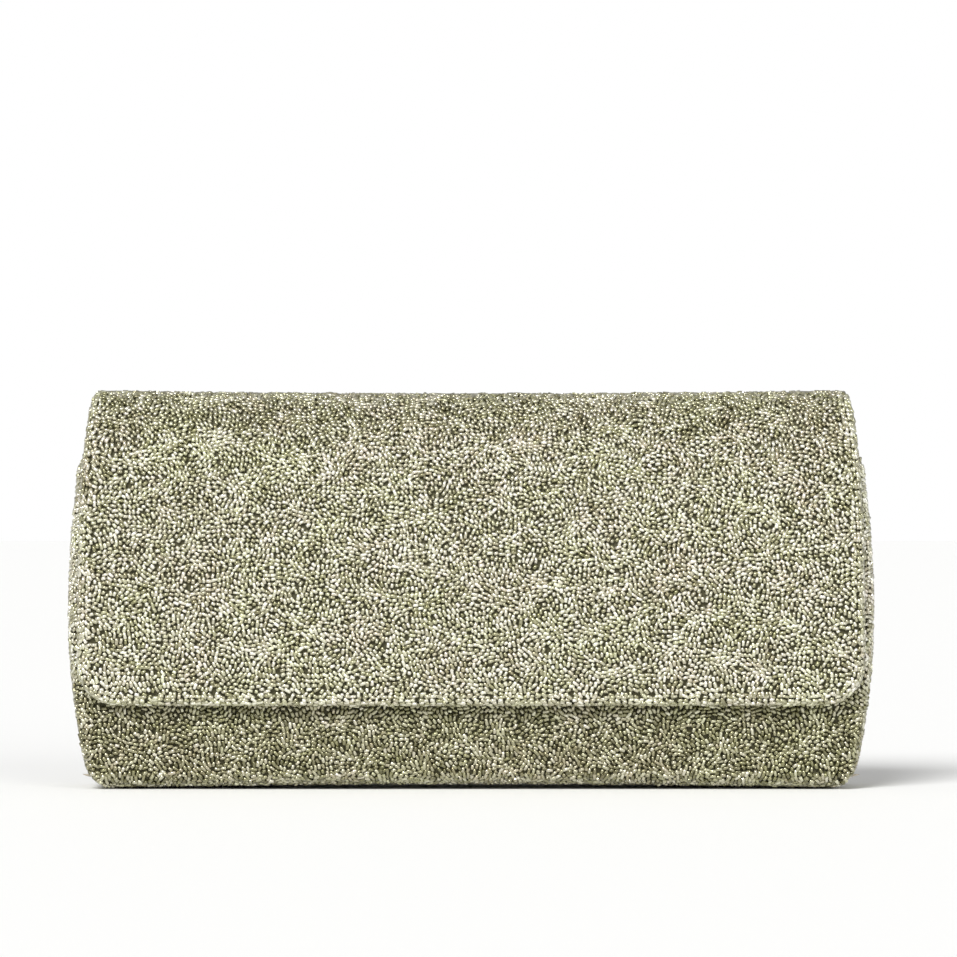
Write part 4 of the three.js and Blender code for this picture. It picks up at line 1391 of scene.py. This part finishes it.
def turned(name, profile, point, axis, material):
    """Turns a profile of (radius, height) about an axis; both ends of the profile are poles."""
    profile = np.asarray(profile, float)
    axis = axis / np.linalg.norm(axis)
    first = np.cross(axis, [0.0, 0.0, 1.0])
    first = first / np.linalg.norm(first)
    second = np.cross(axis, first)
    around = np.arange(TURN_STEPS) * 2.0 * math.pi / TURN_STEPS
    spoke = np.cos(around)[:, None] * first + np.sin(around)[:, None] * second
    rings = profile[1:-1, 0][:, None, None] * spoke + profile[1:-1, 1][:, None, None] * axis
    poles = profile[[0, -1], 1][:, None] * axis
    points = np.vstack([rings.reshape(-1, 3), poles]) + point
    count = len(profile) - 2
    index = np.arange(count * TURN_STEPS).reshape(count, TURN_STEPS)
    after = np.roll(index, -1, axis=1)
    quads = np.stack([index[:-1], after[:-1], after[1:], index[1:]], axis=-1).reshape(-1, 4)
    start = np.stack([after[0], index[0], np.full(TURN_STEPS, count * TURN_STEPS)], axis=1)
    end = np.stack([index[-1], after[-1], np.full(TURN_STEPS, count * TURN_STEPS + 1)], axis=1)
    split = np.vstack([quads[:, [0, 1, 2]], quads[:, [0, 2, 3]]])
    faces = outwards(points, np.vstack([split, start, end]))
    return mesh_object(name, points, faces, material)


def outwards(points, faces):
    """Turns triangles over where the volume that they enclose comes out negative."""
    p = points[faces] - points.mean(axis=0)
    volume = np.einsum("ij,ij->i", p[:, 0], np.cross(p[:, 1], p[:, 2])).sum()
    return faces[:, ::-1] if volume < 0.0 else faces


def swept_wire(name, line, radius, material, sides=14):
    """Carries a circle along a closed line in the YZ plane: cos along X, sin along the line's normal."""
    ahead = np.roll(line, -1, axis=0) - np.roll(line, 1, axis=0)
    ahead = ahead / np.linalg.norm(ahead, axis=1, keepdims=True)
    normal = np.cross(ahead, [1.0, 0.0, 0.0])
    section = np.arange(sides) * 2.0 * math.pi / sides
    offset = np.cos(section)[None, :, None] * np.array([1.0, 0.0, 0.0])
    offset = offset + np.sin(section)[None, :, None] * normal[:, None, :]
    points = (line[:, None, :] + radius * offset).reshape(-1, 3)
    index = np.arange(len(points)).reshape(len(line), sides)
    right = np.roll(index, -1, axis=0)
    corners = [index, np.roll(index, -1, axis=1), np.roll(right, -1, axis=1), right]
    quads = np.stack(corners, axis=-1).reshape(-1, 4)
    split = outwards(points, np.vstack([quads[:, [0, 1, 2]], quads[:, [0, 2, 3]]]))
    return mesh_object(name, points, split, material)


# %% The snap
def surface_at(t):
    """The strip's middle point at t and the outward normal there."""
    point, _, _, normal = with_frame(strip_surface, np.array([0.0]), np.array([t]))
    return point[0], normal[0]


SOCKET_PROFILE = [
    (0.0, -1.1), (7.3, -1.1), (7.85, -0.9), (8.0, -0.5), (7.9, -0.1), (7.5, 0.14),
    (6.9, 0.2), (5.9, 0.2), (5.6, 0.05), (5.2, 0.0), (4.8, 0.05), (4.5, 0.2),
    (3.7, 0.2), (3.3, 0.08), (3.1, -0.2), (3.05, -0.9), (0.0, -0.95),
]
STUD_PROFILE = [
    (0.0, 3.4), (7.3, 3.4), (7.85, 3.55), (8.0, 3.85), (7.9, 4.15), (7.5, 4.33), (6.9, 4.4),
    (6.1, 4.4), (5.8, 4.28), (5.4, 4.24), (5.0, 4.28), (4.7, 4.4), (3.1, 4.4), (2.6, 4.5),
    (2.35, 4.8), (2.3, 5.2), (2.2, 5.45), (1.9, 5.65), (1.2, 5.74), (0.0, 5.76),
]
snap_point, snap_axis = surface_at(snap_t)
socket = turned("snap_socket_disc", SOCKET_PROFILE, snap_point, snap_axis, nickel)
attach(socket, "front_panel")
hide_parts("snap_socket")
stud_point, stud_axis = surface_at(stud_t)
stud = turned("snap_stud_disc", STUD_PROFILE, stud_point, -stud_axis, nickel)
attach(stud, "flap")
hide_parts("snap_stud", "snap_stud_washer")
print("snap discs of", len(SOCKET_PROFILE), "and", len(STUD_PROFILE), "profile points")

# %% The strap rings and their tabs
RING_RADIUS = 4.8
RING_WIRE = 0.8
RING_FLAT = 0.45
TAB_HALF = 2.0
TAB_DEPTH = 0.22
TAB_KNOTS = [
    (2.15, 9.2), (2.1, 5.2), (1.95, 1.8), (1.55, -0.8), (0.0, -1.45), (-1.5, -0.7), (-1.55, 0.8),
    (-0.5, 2.0), (0.9, 3.3), (1.5, 5.6), (1.6, 9.2),
]
tab_line = catmull_rom(TAB_KNOTS, 10)


def ribbon_surface(side, bar):
    """Gives the function of (y, s) for one ribbon, looped over the bar of its ring."""

    def surface(y, s):
        """A point of the ribbon: y across, s from 0 to 100 along its line in the XZ plane."""
        place = np.linspace(0.0, 100.0, len(tab_line))
        x = bar[0] + side * np.interp(s, place, tab_line[:, 0])
        z = bar[2] + np.interp(s, place, tab_line[:, 1])
        return np.stack([x, bar[1] + y + 0.0 * s, z + 0.0 * y], axis=-1)

    return surface


for side, name in ((-1.0, "left"), (1.0, "right")):
    low, high = (np.array(corner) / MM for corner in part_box(f"{name}_d_ring"))
    bar_x = (low[0] + high[0]) / 2
    bar_y = (low[1] + high[1]) / 2
    bar_z = high[2] - RING_WIRE
    flat_angle = math.asin(RING_FLAT)
    bow = np.linspace(math.pi - flat_angle, 2.0 * math.pi + flat_angle, 60)
    bow_y, bow_z = RING_RADIUS * np.cos(bow), RING_RADIUS * (np.sin(bow) - RING_FLAT)
    bar = np.linspace(bow_y[-1], bow_y[0], 24)[1:-1]
    line = np.stack([np.concatenate([bow_y, bar]), np.concatenate([bow_z, 0.0 * bar])], axis=1)
    for _ in range(2):
        line = (np.roll(line, 1, axis=0) + 2.0 * line + np.roll(line, -1, axis=0)) / 4.0
    line = np.column_stack([np.full(len(line), bar_x), line[:, 0] + bar_y, line[:, 1] + bar_z])
    d_ring = swept_wire(f"{name}_strap_ring", line, RING_WIRE, nickel)
    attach(d_ring, f"{name}_ring")
    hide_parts(f"{name}_d_ring")

    s = np.linspace(0.5, 99.5, 90)[:, None] + np.zeros(9)[None, :]
    y = np.linspace(-TAB_HALF, TAB_HALF, 9)[None, :] + 0.0 * s
    ribbon = ribbon_surface(side, (bar_x, bar_y, bar_z))
    tab = shell(f"{name}_ribbon_tab", ribbon, y, s, -TAB_DEPTH, TAB_DEPTH, ribbon_cloth)
    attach(tab, "root")
    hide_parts(f"{name}_ring_tab")
    del tab["flat_size"]

# %% Materials of the CAD nodes that stay
for node, material in (
    ("front_board", grey_card),
    ("snap_magnet", ferrite),
    ("snap_socket_washer", nickel),
):
    for item in bpy.data.objects[node].material_slots:
        item.material = material
    print(node, "keeps its mesh, in", material.name)

# %% [markdown]
# ## Floor, light and camera
#
# The bag stands on a plain pale floor in soft studio light. One small lamp would put a hard spark
# on every bead, and an even white room would leave them flat. So a broad key comes from the upper
# left, a weaker and wider fill from the right, and a grey room lights the rest. The room looks
# white only to the camera itself. A long lens level with the bag keeps its outline true.

# %% Floor
FLOOR_HALF = 6.0
floor_mesh = bpy.data.meshes.new("floor")
floor_corners = [(x * FLOOR_HALF, y * FLOOR_HALF, 0.0) for x, y in ((-1, -1), (1, -1), (1, 1), (-1, 1))]
floor_mesh.from_pydata(floor_corners, [], [(0, 1, 2, 3)])
pale_floor, _, _ = new_material("pale_floor", (0.93, 0.93, 0.92), 0.7)
floor_mesh.materials.append(pale_floor)
floor = bpy.data.objects.new("floor", floor_mesh)
bpy.context.scene.collection.objects.link(floor)
print("floor", 2 * FLOOR_HALF, "m across")


# %% Lights
def broad_light(name, elevation, azimuth, spread, strength):
    """A distant lamp from an elevation and an azimuth, blurred over an angle, all in degrees."""
    lamp = bpy.data.lights.new(name, "SUN")
    lamp.energy = strength
    lamp.angle = math.radians(spread)
    light = bpy.data.objects.new(name, lamp)
    light.rotation_euler = (math.radians(90.0 - elevation), 0.0, math.radians(azimuth))
    bpy.context.scene.collection.objects.link(light)
    print(f"{name} light: {strength} strong, {spread} degrees wide")


ROOM_GREY = 0.40
broad_light("key", 42.0, -24.0, 26.0, 3.0)
broad_light("fill", 22.0, 32.0, 40.0, 0.8)
room = bpy.data.worlds.new("studio_room")
room.use_nodes = True
bpy.context.scene.world = room
grey_walls = room.node_tree.nodes["Background"]
grey_walls.inputs["Color"].default_value = (ROOM_GREY, ROOM_GREY, ROOM_GREY, 1.0)
white_view = add(room.node_tree, "ShaderNodeBackground")
white_view.inputs["Color"].default_value = (1.0, 1.0, 1.0, 1.0)
ray_kind = add(room.node_tree, "ShaderNodeLightPath")
choice = add(room.node_tree, "ShaderNodeMixShader")
room.node_tree.links.new(ray_kind.outputs["Is Camera Ray"], choice.inputs[0])
room.node_tree.links.new(grey_walls.outputs[0], choice.inputs[1])
room.node_tree.links.new(white_view.outputs[0], choice.inputs[2])
room.node_tree.links.new(choice.outputs[0], room.node_tree.nodes["World Output"].inputs["Surface"])
bpy.context.scene.view_settings.view_transform = "Standard"

# %% Camera
CAMERA_DISTANCE = 1.5
FIELD_WIDTH = 0.2825
AIM_X = 0.0022
AIM_ABOVE_MIDDLE = 0.033
bag_middle_z = (cad_bounds[0][2] + cad_bounds[1][2]) / 2
lens = bpy.data.cameras.new("camera")
lens.lens = lens.sensor_width * CAMERA_DISTANCE / FIELD_WIDTH
lens.clip_end = 50.0
camera = bpy.data.objects.new("camera", lens)
camera.location = (AIM_X, cad_bounds[0][1] - CAMERA_DISTANCE, bag_middle_z + AIM_ABOVE_MIDDLE)
camera.rotation_euler = (math.pi / 2, 0.0, 0.0)
bpy.context.scene.collection.objects.link(camera)
bpy.context.scene.camera = camera
print(f"lens {lens.lens:.0f} mm, {CAMERA_DISTANCE} m from the bag")
